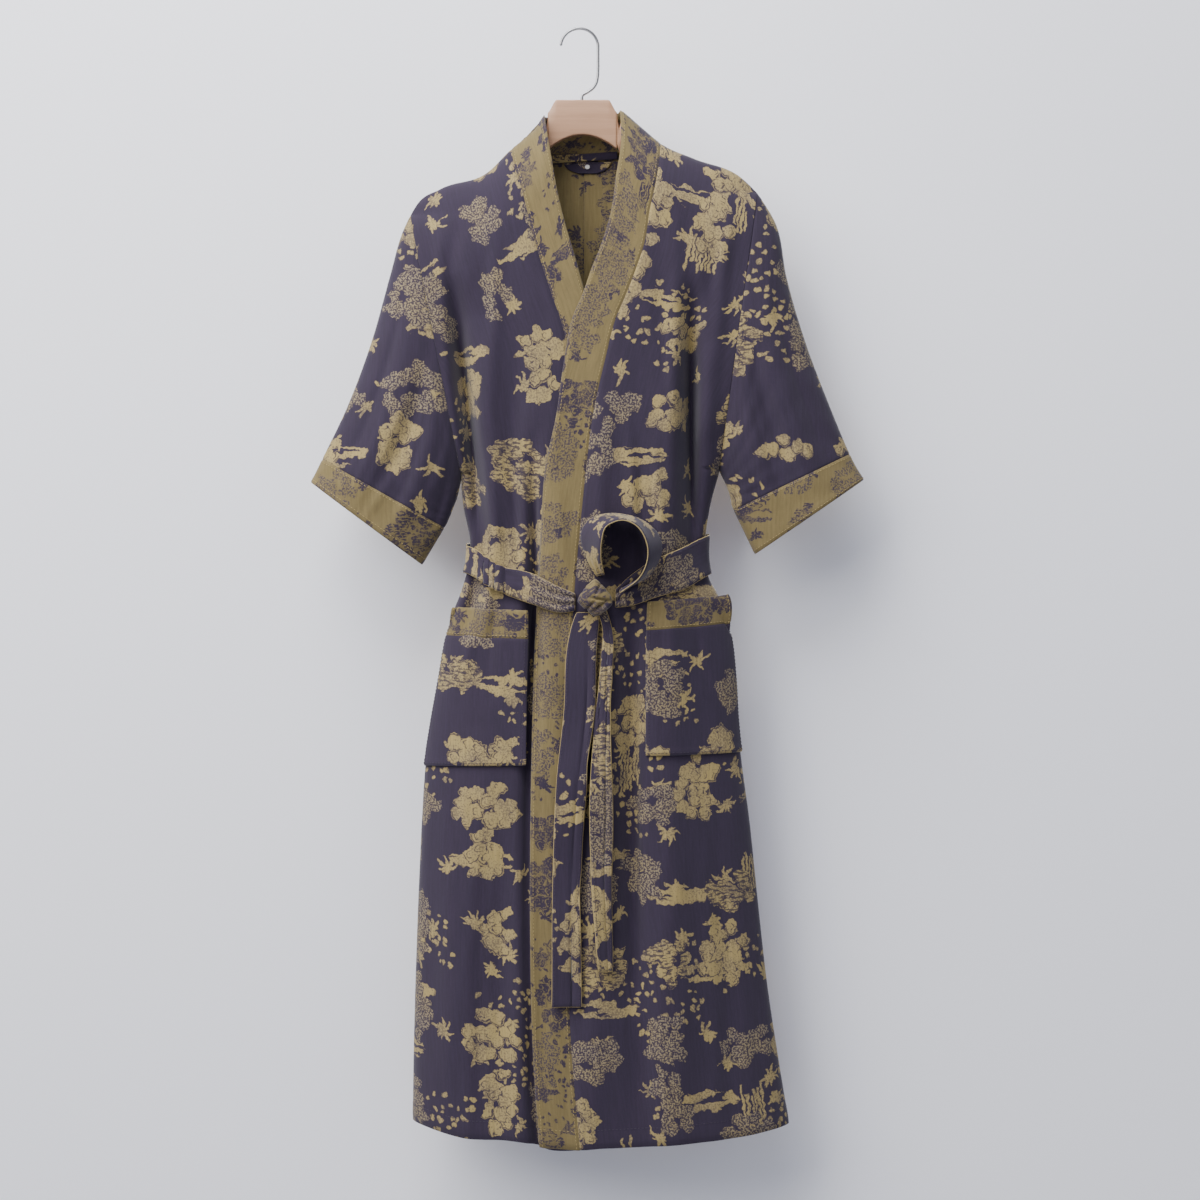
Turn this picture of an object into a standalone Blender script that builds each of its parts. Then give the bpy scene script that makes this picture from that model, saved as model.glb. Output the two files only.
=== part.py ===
"""A belted kimono robe on a wooden hanger, built piece by piece as it is cut and sewn.

The robe faces -Y. The origin is the underside of the hanger's wire at the top of its hook.
Right and left are the wearer's, so the right front is at -X and the left front laps over it.
"""
import math

import bmesh
import bpy
import numpy as np
from mathutils import Vector

MM = 0.001
WALL = 1.8 * MM             # cloth of the body, sleeves and pockets
BELT_WALL = 2.2 * MM        # the belt is the same cloth, doubled
SEAM_GAP = 0.3 * MM
NECK_CORNER_GAP = 0.7 * MM  # the seam opens this much where it turns over the shoulder
LAID_GAP = 1.3 * MM         # between a front and the pocket that lies on it
BELT_GAP = 0.8 * MM         # between the robe and the belt
BELT_SPARE = 1.8 * MM       # how far more it stands off at the robe's sides
UNDERARM_GAP = 0.9 * MM     # the seam opens this much at the corner below the arm
LAP = 5.0 * MM              # how far the left front stands in front of the right one
MIDDLE = 5.0 * MM           # x of the robe's centre line
SHOULDER_ROUND = 90.0 * MM  # height over which the cloth rounds away from the shoulder
NECK_RISE = 25.0 * MM       # how far the shoulder line would rise across the neck hole
NECK_REACH = 60.0 * MM      # within this of the centre line the shoulder's slope is fixed
NECK_LEAN = 1.2             # to this
ARM_DEPTH = 27.0 * MM       # half the thickness of the armhole
SIDE_POWER = 2.6            # how square the robe's rounded sides are
ARM_REACH = 1.45            # how quickly the armhole's roundness dies away into the body
ROWS_BODY = 20
ROWS_ARM = 10
ROW_WAIST = 17              # each front and back is two solids, which meet at this row by the belt
FRONT_COLUMNS = (13, 3)     # columns of a front from its side to the band's seam, and of the band
BACK_COLUMNS = (8, 6)       # columns of a back from its side to the neck's corner, and below the neck
NECK_LEVELS = 3             # rows of the neck band
SLEEVE_ROWS = 9
CUFF_ROWS = 3
SHARP = math.radians(50)    # edges sharper than this are not shaded smoothly


class Table:
    """Rows of sizes in millimetres under named columns, read with a smooth curve."""

    def __init__(self, names, rows):
        self.names = names.split()
        self.columns = np.array(sorted(rows), float).T * MM
        keys = self.columns[0]
        self.slopes = [np.gradient(column, keys) for column in self.columns]

    def at(self, key, name):
        keys = self.columns[0]
        column = self.columns[self.names.index(name)]
        slope = self.slopes[self.names.index(name)]
        key = np.clip(key, keys[0], keys[-1])
        i = np.clip(np.searchsorted(keys, key) - 1, 0, len(keys) - 2)
        span = keys[i + 1] - keys[i]
        t = (key - keys[i]) / span
        start = (1 + 2 * t) * (1 - t) ** 2 * column[i] + t * (1 - t) ** 2 * span * slope[i]
        return start + t * t * (3 - 2 * t) * column[i + 1] + t * t * (t - 1) * span * slope[i + 1]


# The shoulder line, from the right shoulder tip over the neck to the left one
SHOULDER = Table("x height", [
    (-194, -214), (-186, -201), (-160, -184), (-103, -163), (-78, -138), (-62, -125), (-47, -110),
    (-40.5, -99), (47, -93), (71, -113), (94, -132), (132, -149), (186, -171), (204, -188)])
NECK_RIGHT = -40.5 * MM     # inner ends of the shoulder line, where the neck hole begins
NECK_LEFT = 47.0 * MM
SEAM_RIGHT = -78.0 * MM     # where the band's seam crosses the shoulder line
SEAM_LEFT = 94.0 * MM
TIP = {"right": (-194 * MM, -214 * MM), "left": (204 * MM, -188 * MM)}
UNDERARM = {"right": (-136 * MM, -509 * MM), "left": (160 * MM, -503 * MM)}

# The robe's sides below the underarms
SIDES = Table("height right left", [
    (-509, -136, 160), (-546, -133, 150), (-590, -125, 144), (-612, -126, 144.5), (-632, -131, 149),
    (-650, -137, 159), (-668, -144, 166), (-705, -153, 174), (-745, -160, 178), (-795, -169, 181),
    (-842, -176, 186), (-900, -180, 194), (-985, -184, 203), (-1100, -188, 216), (-1180, -190, 228),
    (-1260, -191, 241)])
HEM = Table("x height", [
    (-195, -1251), (-136, -1265), (-50, -1272), (-38, -1276), (25, -1275), (121, -1271), (190, -1265),
    (245, -1255)])

# The left front, which shows whole, and the right front, hidden below the lap
LEFT_FRONT = Table("height edge seam", [
    (-93, 47, 94), (-134, 48, 93), (-175, 42, 88), (-212, 37, 80), (-250, 26, 74), (-280, 14, 64),
    (-306, 5, 54), (-334, -7, 42), (-380, -16, 30), (-448, -26, 15), (-505, -38, 8), (-573, -43, 1),
    (-640, -47, -5), (-702, -50, -9), (-862, -54, -13), (-1015, -55, -14), (-1160, -52, -9),
    (-1280, -44, 1)])
RIGHT_FRONT = Table("height edge seam", [
    (-99, -40.5, -78), (-128, -36, -78), (-151, -32, -76), (-186, -26, -66), (-225, -17, -56),
    (-259, -7, -47), (-306, 6, -32), (-340, 15, -20), (-448, 38, -6), (-573, 55, 10), (-702, 60, 15),
    (-1015, 66, 21), (-1280, 70, 25)])

# How far the cloth stands from the middle plane, in front and behind
DEPTH = Table("height front back", [
    (-90, 26, 24), (-200, 32, 25), (-320, 36, 26), (-450, 38, 27), (-600, 38, 27), (-700, 42, 29),
    (-850, 46, 31), (-1050, 50, 34), (-1280, 56, 38)])

# The largest folds: x at the top and bottom end, heights of the ends, half width, and rise
FOLD_COLUMNS = "x_top x_bottom top bottom width rise".split()
FRONT_FOLDS = [
    (-140, -118, -300, -640, 13, -13),
    (-112, -96, -330, -620, 13, 5),
    (-72, -80, -330, -700, 14, -5),
    (-46, -58, -440, -850, 11, -6),
    (-120, -128, -800, -1330, 26, 6),
    (-86, -96, -860, -1340, 18, -4),
    (-60, -70, -900, -1350, 16, 5),
    (128, 133, -300, -640, 12, -14),
    (152, 150, -360, -640, 9, 7),
    (104, 98, -330, -640, 13, 6),
    (62, 44, -600, -1050, 15, -7),
    (30, 20, -420, -600, 12, 4),
    (30, 8, -880, -1330, 18, 5),
    (104, 118, -840, -1340, 22, 6),
    (150, 176, -860, -1340, 20, -5),
    (70, 78, -900, -1350, 18, -4),
    (-150, -120, -215, -330, 18, 4),
    (150, 140, -190, -320, 18, 4),
]
BACK_FOLDS = [
    (-108, -88, -330, -700, 14, -9),
    (-70, -56, -380, -720, 14, 6),
    (-26, -30, -420, -760, 13, -6),
    (38, 34, -400, -760, 13, -6),
    (78, 64, -360, -720, 14, 6),
    (118, 108, -330, -700, 14, -9),
    (-120, -140, -760, -1340, 24, 7),
    (-60, -78, -820, -1340, 22, -6),
    (-6, -10, -760, -1350, 24, 6),
    (58, 74, -820, -1340, 22, -6),
    (120, 150, -760, -1340, 26, 7),
]
LAP_SIDE = 140.0 * MM       # x of the left front where the lap begins, and over which it grows
LAP_SPREAD = 45.0 * MM
LAP_BELOW = 60.0 * MM       # the lap grows over this height below the shoulder
LAP_RAMP = 24.0 * MM        # what lies on both fronts climbs the lap over this distance
BRIDGE = 12.0 * MM          # half the width of a fold that a belt passes straight over
FADE = 26.0 * MM            # folds die away over this distance from a side edge

# Sleeve sections from the armhole to the cuff's edge: place along the sleeve in thousandths,
# upper and lower fold line, half thickness
SLEEVES = {
    "right": Table("place top_x top_z low_x low_z depth", [
        (0, -194, -214, -136, -509, 27), (80, -203, -234, -137, -517, 29),
        (250, -217, -283, -140, -533, 30), (500, -238, -358, -146, -550, 29),
        (750, -265, -431, -151, -562, 27), (1000, -295, -494, -156, -572, 25),
        (1250, -308, -520, -181, -614, 25)]),
    "left": Table("place top_x top_z low_x low_z depth", [
        (0, 204, -188, 160, -503, 27), (80, 223, -219, 162, -508, 29),
        (250, 237, -283, 167, -518, 30), (500, 259, -359, 172, -530, 29),
        (750, 285, -428, 175, -541, 27), (1000, 310, -488, 178, -552, 25),
        (1250, 326, -517, 202, -602, 25)]),
}
CUFF_SEAM = 1000 * MM
CUFF_END = 1250 * MM
# Soft folds of the sleeves: where round the half section (0 upper, 1 lower), start and end
# along the sleeve, width as a share of the half section, and rise in millimetres
SLEEVE_FOLDS = [(0.30, 0.10, 1.35, 0.09, 4.5), (0.50, 0.00, 1.00, 0.07, -5.0),
                (0.70, 0.15, 1.30, 0.08, 4.0)]

# Neck at the back: the backs' guide line from the neck's corner, which draws in towards the hem,
# and the height of the band's seam and of its upper edge at the centre
NECK_CORNER = -138.0 * MM
BACK_LENGTH = 1100.0 * MM
BACK_DRAW = 0.9
NECK_SEAM = -143.0 * MM
NECK_TOP = -101.0 * MM

POCKETS = {
    "right": Table("height inner", [(-662, -59), (-700, -59), (-760, -60), (-843, -60)]),
    "left": Table("height inner", [(-648, 78), (-700, 77), (-760, 77), (-832, 77)]),
}
POCKET_TOP = {"right": (-668 * MM, -664 * MM), "left": (-658 * MM, -649 * MM)}
POCKET_LOW = {"right": (-843 * MM, -845 * MM), "left": (-832 * MM, -829 * MM)}
POCKET_BAND = 32.0 * MM
POCKET_ROWS = 7             # one row of faces for the band, the others for the bag
POCKET_COLUMNS = 8
POCKET_INSET = 1.2 * MM     # how far the pocket's outer edge keeps from the side seam
POCKET_CROWD = 1.4          # how much closer the columns stand towards the side seam

# The belt in front: centre line and half width, from each side seam to the knot
BELT_RIGHT = Table("x height half", [
    (-140, -606, 15), (-120, -611, 15), (-95, -628, 14), (-52, -643, 17), (-20, -656, 14),
    (-5, -658, 10)])
BELT_LEFT = Table("x height half", [
    (41, -654, 10), (58, -645, 17), (84, -632, 21), (116, -619, 23), (146, -602, 22)])
BELT_BACK = Table("x height half", [
    (-140, -606, 16), (-70, -612, 20), (5, -614, 21), (80, -608, 21), (150, -600, 21)])
TAIL_LONG = Table("height x half", [
    (-684, 10, 11), (-702, 3, 16), (-781, 0, 17), (-860, -8, 17), (-940, -13, 16),
    (-1018, -14, 16), (-1115, -14, 17)])
TAIL_ROWS = 16
BELT_COLUMNS = 3            # faces across the belt, its bow and its tails
BELT_STEPS = (0, 0.004, 0.02, 0.06, 0.12, 0.2, 0.3, 0.4, 0.5, 0.6, 0.7, 0.8, 0.9, 1.0)
BELT_ENDS = {"right": -5 * MM, "left": 41 * MM}
TAIL_SHORT = Table("height x half", [
    (-684, 32, 4), (-745, 30, 7), (-826, 26, 11), (-913, 25, 13), (-980, 25, 11), (-1075, 29, 8)])
KNOT_AT = (18 * MM, -654 * MM)
KNOT_SIZE = (19 * MM, 12 * MM, 20 * MM)
KNOT_FACES = (14, 9)        # round it and from top to bottom
KNOT_WAIST = 0.18           # how far the knot draws in above and below
# The bow's loop of belt: its rim near the viewer and its rim near the robe
BOW = [  # near x, near height, near stand-off, far x, far height, far stand-off
    (28, -627, 19, 20, -628, 5), (25, -609, 34, 8, -608, 5), (26, -587, 42, 2, -582, 5),
    (31, -572, 44, 14, -563, 5), (49, -566, 44, 38, -556, 6), (67, -575, 44, 62, -563, 6),
    (77, -594, 44, 80, -583, 6), (76, -613, 42, 82, -606, 6), (66, -632, 36, 66, -626, 6),
    (46, -648, 21, 48, -642, 9)]

BOW_AT = (40 * MM, -600 * MM)   # stand-offs are counted from the cloth here
BOW_SEAT = 0.7 * MM         # how far the whole bow is pressed back towards the robe

# The half-moon patch, the hanging loop and the button inside the back neck
PATCH_X = 9 * MM
PATCH_HALF = 27 * MM
PATCH_TOP = -149 * MM
PATCH_DEEP = 13 * MM
PATCH_TAPER = 0.93          # share of a full half circle that the patch runs down
PATCH_FACES = (4, 10)
PATCH_WALL = 1.2 * MM
LOOP_ENDS = ((-33 * MM, -146 * MM), (44 * MM, -141 * MM))
LOOP_HALF = 4 * MM
LOOP_FACES = 12
LOOP_WALL = 1.4 * MM
LOOP_CLEAR = 1.9 * MM       # between the patch and the middle of the loop
BUTTON_HEIGHT = -154.5 * MM
BUTTON_BACK = 2.8 * MM      # radius where the button meets the patch
BUTTON_FACE = 2.4 * MM
BUTTON_THICK = 1.2 * MM
BUTTON_CLEAR = 0.3 * MM
BUTTON_SIDES = 16

WIRE = 1.7 * MM             # radius of the hook's wire
HOOK_RADIUS = 21.5 * MM
STEM_X = 3.0 * MM
PLATE_TOP = -80.5 * MM
PLATE_HALF = 6.0 * MM
PLATE_ENDS = (-36.5 * MM, 43.5 * MM)
PLATE_FALL = 14 * MM        # how far the plate's rounded shoulders fall from its top
PLATE_FLAT = 0.74           # share of the plate's half width before the shoulders begin
PLATE_LOW = -121 * MM       # lower edge in the middle of the plate
PLATE_BOW = 17 * MM         # how much lower that edge is at the plate's ends
ARM_HALF = 5.6 * MM
ARM_DEEP = (30 * MM, 17 * MM)   # height of the arms at the neck and at their ends
ARM_DROP = 4.0 * MM         # how much lower the arms lie at the neck and at their ends
WOOD_CLEAR = 4.8 * MM       # between the middle of the shoulder cloth and the wood's ridge
WOOD_CHAMFER = 1.5 * MM     # height of the bevel along the wood's lower edges
WOOD_LOW_SHARE = 0.8        # width of the lower face as a share of the wood's
# Share of the width left at the top and height of the bevel there, on the plate and on the arms
PLATE_CROWN = (0.8, 1.2 * MM)
ARM_CROWN = (0.3, 7 * MM)
WOOD_PLACES = [-171, -168, -160, -140, -120, -103, -90, -78, -66, -55, -47, -42, -36.9, -36.4, -33,
               -27, -15, 3, 21, 33, 39, 43.4, 44, 51, 59, 71, 82, 94, 112, 132, 155, 172, 182, 185]
HOOK_START = 172            # degrees round the hook from its far side, where the wire begins
HOOK_POINTS = 15
# The wire below its hook, down to the wood: x and height
HOOK_STEM = [(21.5, -38), (21.0, -54), (18.0, -64), (11.0, -70.5), (5.0, -74), (3.0, -77)]

DARK = (0.060, 0.050, 0.100, 1.0)
GOLD = (0.440, 0.350, 0.160, 1.0)
WOOD = (0.600, 0.430, 0.300, 1.0)
STEEL = (0.560, 0.560, 0.550, 1.0)
PEARL = (0.760, 0.740, 0.680, 1.0)


def smooth_step(t):
    t = np.clip(t, 0.0, 1.0)
    return t * t * (3.0 - 2.0 * t)


def shoulder_height(x):
    """Height of the shoulder line, with a low arch where the neck hole would be bridged."""
    middle = (NECK_RIGHT + NECK_LEFT) / 2
    half = (NECK_LEFT - NECK_RIGHT) / 2
    across = np.clip(abs(x - middle) / half, 0.0, 1.0)
    if NECK_RIGHT < x < NECK_LEFT:
        share = (x - NECK_RIGHT) / (NECK_LEFT - NECK_RIGHT)
        base = blend(SHOULDER.at(NECK_RIGHT, "height"), SHOULDER.at(NECK_LEFT, "height"), share)
        return base + NECK_RISE * math.sqrt(1 - across ** 2)
    return SHOULDER.at(x, "height")


def side_of(x):
    return "right" if x < MIDDLE else "left"


def arm_share(side, height):
    """Place between the underarm (0) and the shoulder tip (1)."""
    low = UNDERARM[side][1]
    return np.clip((height - low) / (TIP[side][1] - low), 0.0, 1.0)


def side_x(side, height):
    if height <= UNDERARM[side][1]:
        return SIDES.at(height, side)
    share = arm_share(side, height)
    return UNDERARM[side][0] * (1 - share) + TIP[side][0] * share


def fold_rise(folds, x, height):
    total = 0.0
    for row in folds:
        fold = dict(zip(FOLD_COLUMNS, (value * MM for value in row)))
        along = (fold["top"] - height) / (fold["top"] - fold["bottom"])
        if 0.0 < along < 1.0:
            centre = fold["x_top"] * (1 - along) + fold["x_bottom"] * along
            swell = math.sin(math.pi * along) ** 0.8
            total += fold["rise"] * swell * math.exp(-((x - centre) / fold["width"]) ** 2)
    return total


def body_depth(x, height, face, bridged=False):
    """Distance of the cloth from the middle plane on the front or the back.

    Bridged gives the depth of something stretched over the folds.
    """
    side = side_of(x)
    reach = abs(side_x(side, height) - MIDDLE)
    across = min(abs(x - MIDDLE) / reach, 1.0)
    lens = math.sqrt(1 - across ** SIDE_POWER)
    below = max(shoulder_height(x) - height, 0.0)
    fall = math.sqrt(1 - (1 - min(below / SHOULDER_ROUND, 1.0)) ** 2)
    full = DEPTH.at(height, face) * fall
    share = arm_share(side, height)
    edge = 2 * ARM_DEPTH * math.sqrt(share * (1 - share))
    calm = smooth_step((reach - abs(x - MIDDLE)) / FADE) * smooth_step(below / SHOULDER_ROUND)
    folds = FRONT_FOLDS if face == "front" else BACK_FOLDS
    rise = fold_rise(folds, x, height)
    if bridged:
        rise = max(fold_rise(folds, x + step * BRIDGE, height + drop * BRIDGE)
                   for step in (-1, -0.5, 0, 0.5, 1) for drop in (-1, 0, 1))
        rise = max(rise, 0.0)
    return edge * (1 - lens) ** ARM_REACH + full * lens + calm * rise


def front_y(x, height, over=False, bridged=False):
    """The front's cloth; the one that laps over stands forward, except by its side and shoulder."""
    lap = 0.0
    if over:
        below = shoulder_height(x) - height
        lap = LAP * smooth_step((LAP_SIDE - x) / LAP_SPREAD) * smooth_step(below / LAP_BELOW)
    return -body_depth(x, height, "front", bridged) - lap


def back_y(x, height, bridged=False):
    return body_depth(x, height, "back", bridged)


def outer_front_y(x, height, bridged=False):
    """The outermost front layer, with the left front's lap where it covers the right one."""
    ramp = smooth_step((x - LEFT_FRONT.at(height, "edge")) / LAP_RAMP + 1)
    return blend(front_y(x, height, False, bridged), front_y(x, height, True, bridged), ramp)


def blend(a, b, t):
    return a * (1 - t) + b * t


def grid_normals(grid, closed=False):
    """Unit normals of a grid of points, rows by columns; columns wrap when closed."""
    across = np.gradient(grid, axis=1)
    if closed:
        across = (np.roll(grid, -1, axis=1) - np.roll(grid, 1, axis=1)) / 2
    along = np.gradient(grid, axis=0)
    normals = np.cross(across, along)
    return normals / np.linalg.norm(normals, axis=2, keepdims=True)


def make_material(name, colour, roughness, metallic=0.0):
    material = bpy.data.materials.get(name) or bpy.data.materials.new(name)
    material.use_nodes = True
    shader = material.node_tree.nodes["Principled BSDF"]
    shader.inputs["Base Color"].default_value = colour
    shader.inputs["Roughness"].default_value = roughness
    shader.inputs["Metallic"].default_value = metallic
    return material


def finish_object(name, builder, material):
    bmesh.ops.recalc_face_normals(builder, faces=builder.faces)
    mesh = bpy.data.meshes.new(name)
    builder.to_mesh(mesh)
    builder.free()
    if sum_volume(mesh) < 0:
        mesh.flip_normals()
    mesh.materials.append(material)
    mesh.shade_smooth()
    mesh.set_sharp_from_angle(angle=SHARP)
    made = bpy.data.objects.new(name, mesh)
    bpy.context.collection.objects.link(made)
    return made


def sum_volume(mesh):
    total = 0.0
    for polygon in mesh.polygons:
        corners = [mesh.vertices[i].co for i in polygon.vertices]
        for b, c in zip(corners[1:-1], corners[2:]):
            total += corners[0].dot(b.cross(c))
    return total


def cloth_wall(name, middle, normals, material, wall=WALL, closed=False):
    """A closed wall on both sides of a grid of points; a closed grid is a tube."""
    builder = bmesh.new()
    rows, columns = middle.shape[:2]
    sheets = []
    for side in (0.5, -0.5):
        points = middle + normals * (side * wall)
        sheets.append([[builder.verts.new(point) for point in row] for row in points])
    wrap = columns if closed else columns - 1
    for sheet in sheets:
        for r in range(rows - 1):
            for c in range(wrap):
                d = (c + 1) % columns
                builder.faces.new((sheet[r][c], sheet[r][d], sheet[r + 1][d], sheet[r + 1][c]))
    outer, inner = sheets
    for r in (0, rows - 1):
        for c in range(wrap):
            d = (c + 1) % columns
            builder.faces.new((outer[r][c], outer[r][d], inner[r][d], inner[r][c]))
    if not closed:
        for c in (0, columns - 1):
            for r in range(rows - 1):
                builder.faces.new((outer[r][c], outer[r + 1][c], inner[r + 1][c], inner[r][c]))
    return finish_object(name, builder, material)


def row_steps():
    """Places of the rows from the hem (0) to the underarm (1) and on to the shoulder (2)."""
    steps = [(r / ROWS_BODY) ** 0.8 for r in range(ROWS_BODY + 1)]
    steps += [1 + (1 - math.cos(math.pi * r / ROWS_ARM)) / 2 for r in range(1, ROWS_ARM + 1)]
    return steps


def side_point(side, step):
    """The side seam up to the underarm, then the armhole up to the shoulder tip."""
    low = UNDERARM[side]
    if step <= 1:
        hem = HEM.at(SIDES.at(-1260 * MM, side), "height")
        height = blend(hem, low[1], step)
        return side_x(side, height), height
    return blend(low[0], TIP[side][0], step - 1), blend(low[1], TIP[side][1], step - 1)


def inner_point(curve, top, step, side):
    """A point on an inner guide line, given as x for each height, ending at the height top."""
    low = UNDERARM[side][1]
    hem = HEM.at(curve(-1275 * MM), "height")
    height = blend(hem, low, step) if step <= 1 else blend(low, top, step - 1)
    return curve(height), height


def panel_grid(side, guides, counts, face, over=False):
    """Points of a front or back from its side seam to its inner edge.

    guides are (curve, top height) pairs; counts are the columns up to each of them.
    """
    rows = []
    for step in row_steps():
        corners = [side_point(side, step)] + [inner_point(c, top, step, side) for c, top in guides]
        row = []
        for k, count in enumerate(counts):
            for c in range(count + (k == len(counts) - 1)):
                t = (c / count) ** (1.5 if k == 0 else 1.0)
                x = blend(corners[k][0], corners[k + 1][0], t)
                height = blend(corners[k][1], corners[k + 1][1], t)
                if step <= 1:
                    straight = blend(side_point(side, 0)[1], HEM.at(corners[k + 1][0], "height"), t)
                    if k == 0 and c > 0:
                        height += (HEM.at(x, "height") - straight) * (1 - step) ** 2
                elif on_shoulder(face, k, counts):
                    ends = [side_point(side, 2)] + [inner_point(g, top, 2, side) for g, top in guides]
                    end_x = blend(ends[k][0], ends[k + 1][0], t)
                    chord = blend(ends[k][1], ends[k + 1][1], t)
                    height += (shoulder_height(end_x) - chord) * (step - 1) ** 2
                    if step == 2:
                        height = shoulder_height(x)
                y = front_y(x, height, over) if face == "front" else back_y(x, height)
                row.append((x, y, height))
        rows.append(row)
    return np.array(rows)


def on_shoulder(face, k, counts):
    """Whether this stretch of a panel's top row follows the shoulder line."""
    return face == "front" or k < len(counts) - 1


def armhole_axis(side):
    """Unit vectors up the armhole and square to it, towards the body."""
    up = np.array((TIP[side][0] - UNDERARM[side][0], 0.0, TIP[side][1] - UNDERARM[side][1]))
    up /= np.linalg.norm(up)
    inward = np.array((up[2], 0.0, -up[0]))
    if side == "left":
        inward = -inward
    return up, inward


def shoulder_normal(x):
    step = 4 * MM
    slope = (shoulder_height(x + step) - shoulder_height(x - step)) / (2 * step)
    if abs(x - MIDDLE) < NECK_REACH:
        slope = -NECK_LEAN * math.copysign(1, x - MIDDLE)
    normal = np.array((-slope, 0.0, 1.0))
    return normal / np.linalg.norm(normal)


def panel_normals(grid, side, face, shoulder_columns):
    """Normals that both pieces at a seam share, so that their edges meet squarely."""
    facing = -1.0 if face == "front" else 1.0
    normals = grid_normals(grid)
    flip = np.sign(normals[ROWS_BODY // 2, grid.shape[1] // 2, 1]) != facing
    if flip:
        normals = -normals
    outward = np.array((-1.0 if side == "right" else 1.0, 0.0, 0.0))
    up, inward = armhole_axis(side)
    for r, step in enumerate(row_steps()):
        if step < 1:
            normals[r, 0] = outward
        elif step == 1:
            corner = outward - up
            normals[r, 0] = corner / np.linalg.norm(corner)
        else:
            turn = math.pi * (r - ROWS_BODY) / ROWS_ARM
            normals[r, 0] = -math.cos(turn) * up + facing * math.sin(turn) * np.array((0.0, 1.0, 0.0))
    for c in range(shoulder_columns):
        normals[-1, c] = shoulder_normal(grid[-1, c, 0])
    corner = up + shoulder_normal(grid[-1, 0, 0])
    normals[-1, 0] = corner / np.linalg.norm(corner)
    return normals


def shift_side_edges(grid, side, face, shoulder_columns):
    """Move the side and shoulder edges half a seam gap away from the neighbouring piece."""
    facing = np.array((0.0, -1.0 if face == "front" else 1.0, 0.0))
    inward = armhole_axis(side)[1]
    grid = grid.copy()
    for r, step in enumerate(row_steps()):
        grid[r, 0] += (facing if step < 1 else inward) * SEAM_GAP / 2
    grid[ROWS_BODY, 0] += facing * SEAM_GAP / 2 + inward * UNDERARM_GAP
    grid[ROWS_BODY + 1, 0] += inward * UNDERARM_GAP / 2
    grid[-1, :shoulder_columns] += facing * SEAM_GAP / 2
    return grid


def part_at(grid, normals, column):
    """Split a panel from its band at a column, with the seam's gap between them."""
    panel, band = grid[:, :column + 1].copy(), grid[:, column:].copy()
    across = grid[:, column + 1] - grid[:, column - 1]
    across /= np.linalg.norm(across, axis=1, keepdims=True)
    panel[:, -1] -= across * SEAM_GAP / 2
    band[:, 0] += across * SEAM_GAP / 2
    return (panel, normals[:, :column + 1]), (band, normals[:, column:])


def part_at_waist(name, grid, normals, material):
    """Build a front or back as a bodice and a skirt that meet at the waist."""
    skirt, bodice = grid[:ROW_WAIST + 1].copy(), grid[ROW_WAIST:].copy()
    skirt[-1, :, 2] -= SEAM_GAP / 2
    bodice[0, :, 2] += SEAM_GAP / 2
    cloth_wall(name, bodice, normals[ROW_WAIST:], material)
    cloth_wall(name.replace("_", "_skirt_"), skirt, normals[:ROW_WAIST + 1], material)


def front_patch(side):
    table = RIGHT_FRONT if side == "right" else LEFT_FRONT
    seam_x = SEAM_RIGHT if side == "right" else SEAM_LEFT
    neck_x = NECK_RIGHT if side == "right" else NECK_LEFT
    guides = [(lambda h: table.at(h, "seam"), shoulder_height(seam_x)),
              (lambda h: table.at(h, "edge"), SHOULDER.at(neck_x, "height"))]
    grid = panel_grid(side, guides, FRONT_COLUMNS, "front", over=side == "left")
    grid[-1, FRONT_COLUMNS[0], 0] = seam_x
    return grid


def make_fronts(cloth, gold):
    for side in ("right", "left"):
        grid = front_patch(side)
        normals = panel_normals(grid, side, "front", grid.shape[1])
        grid = shift_side_edges(grid, side, "front", grid.shape[1])
        panel, band = part_at(grid, normals, FRONT_COLUMNS[0])
        part_at_waist("front_" + side, *panel, cloth)
        cloth_wall("band_" + side, *band, gold)


def neck_point(share, level):
    """A point of the back neck band; share runs round the neck, level from seam to upper edge."""
    low_x = blend(SEAM_RIGHT, SEAM_LEFT, share)
    top_x = blend(NECK_RIGHT, NECK_LEFT, share)
    bow = math.sin(math.pi * share) ** 0.7
    low = blend(blend(shoulder_height(SEAM_RIGHT), shoulder_height(SEAM_LEFT), share), NECK_SEAM, bow)
    ends = blend(SHOULDER.at(NECK_RIGHT, "height"), SHOULDER.at(NECK_LEFT, "height"), share)
    top = blend(ends, NECK_TOP, bow)
    x, height = blend(low_x, top_x, level), blend(low, top, level)
    if share in (0, 1):
        height = shoulder_height(x)
    return x, back_y(x, height), height


def neck_shares(side):
    """Places along the neck's seam from one shoulder to the centre-back seam."""
    corner = 0.0 if side == "right" else 1.0
    centre = (MIDDLE - SEAM_RIGHT) / (SEAM_LEFT - SEAM_RIGHT)
    return [blend(corner, centre, c / BACK_COLUMNS[1]) for c in range(BACK_COLUMNS[1] + 1)]


def back_patch(side):
    seam_x = SEAM_RIGHT if side == "right" else SEAM_LEFT
    guides = [(lambda h: blend(seam_x, seam_x * BACK_DRAW, (NECK_CORNER - h) / BACK_LENGTH),
               shoulder_height(seam_x)),
              (lambda h: MIDDLE, NECK_SEAM)]
    grid = panel_grid(side, guides, BACK_COLUMNS, "back")
    for c, share in enumerate(neck_shares(side)):
        grid[-1, BACK_COLUMNS[0] + c] = neck_point(share, 0.0)
    return grid


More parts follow.
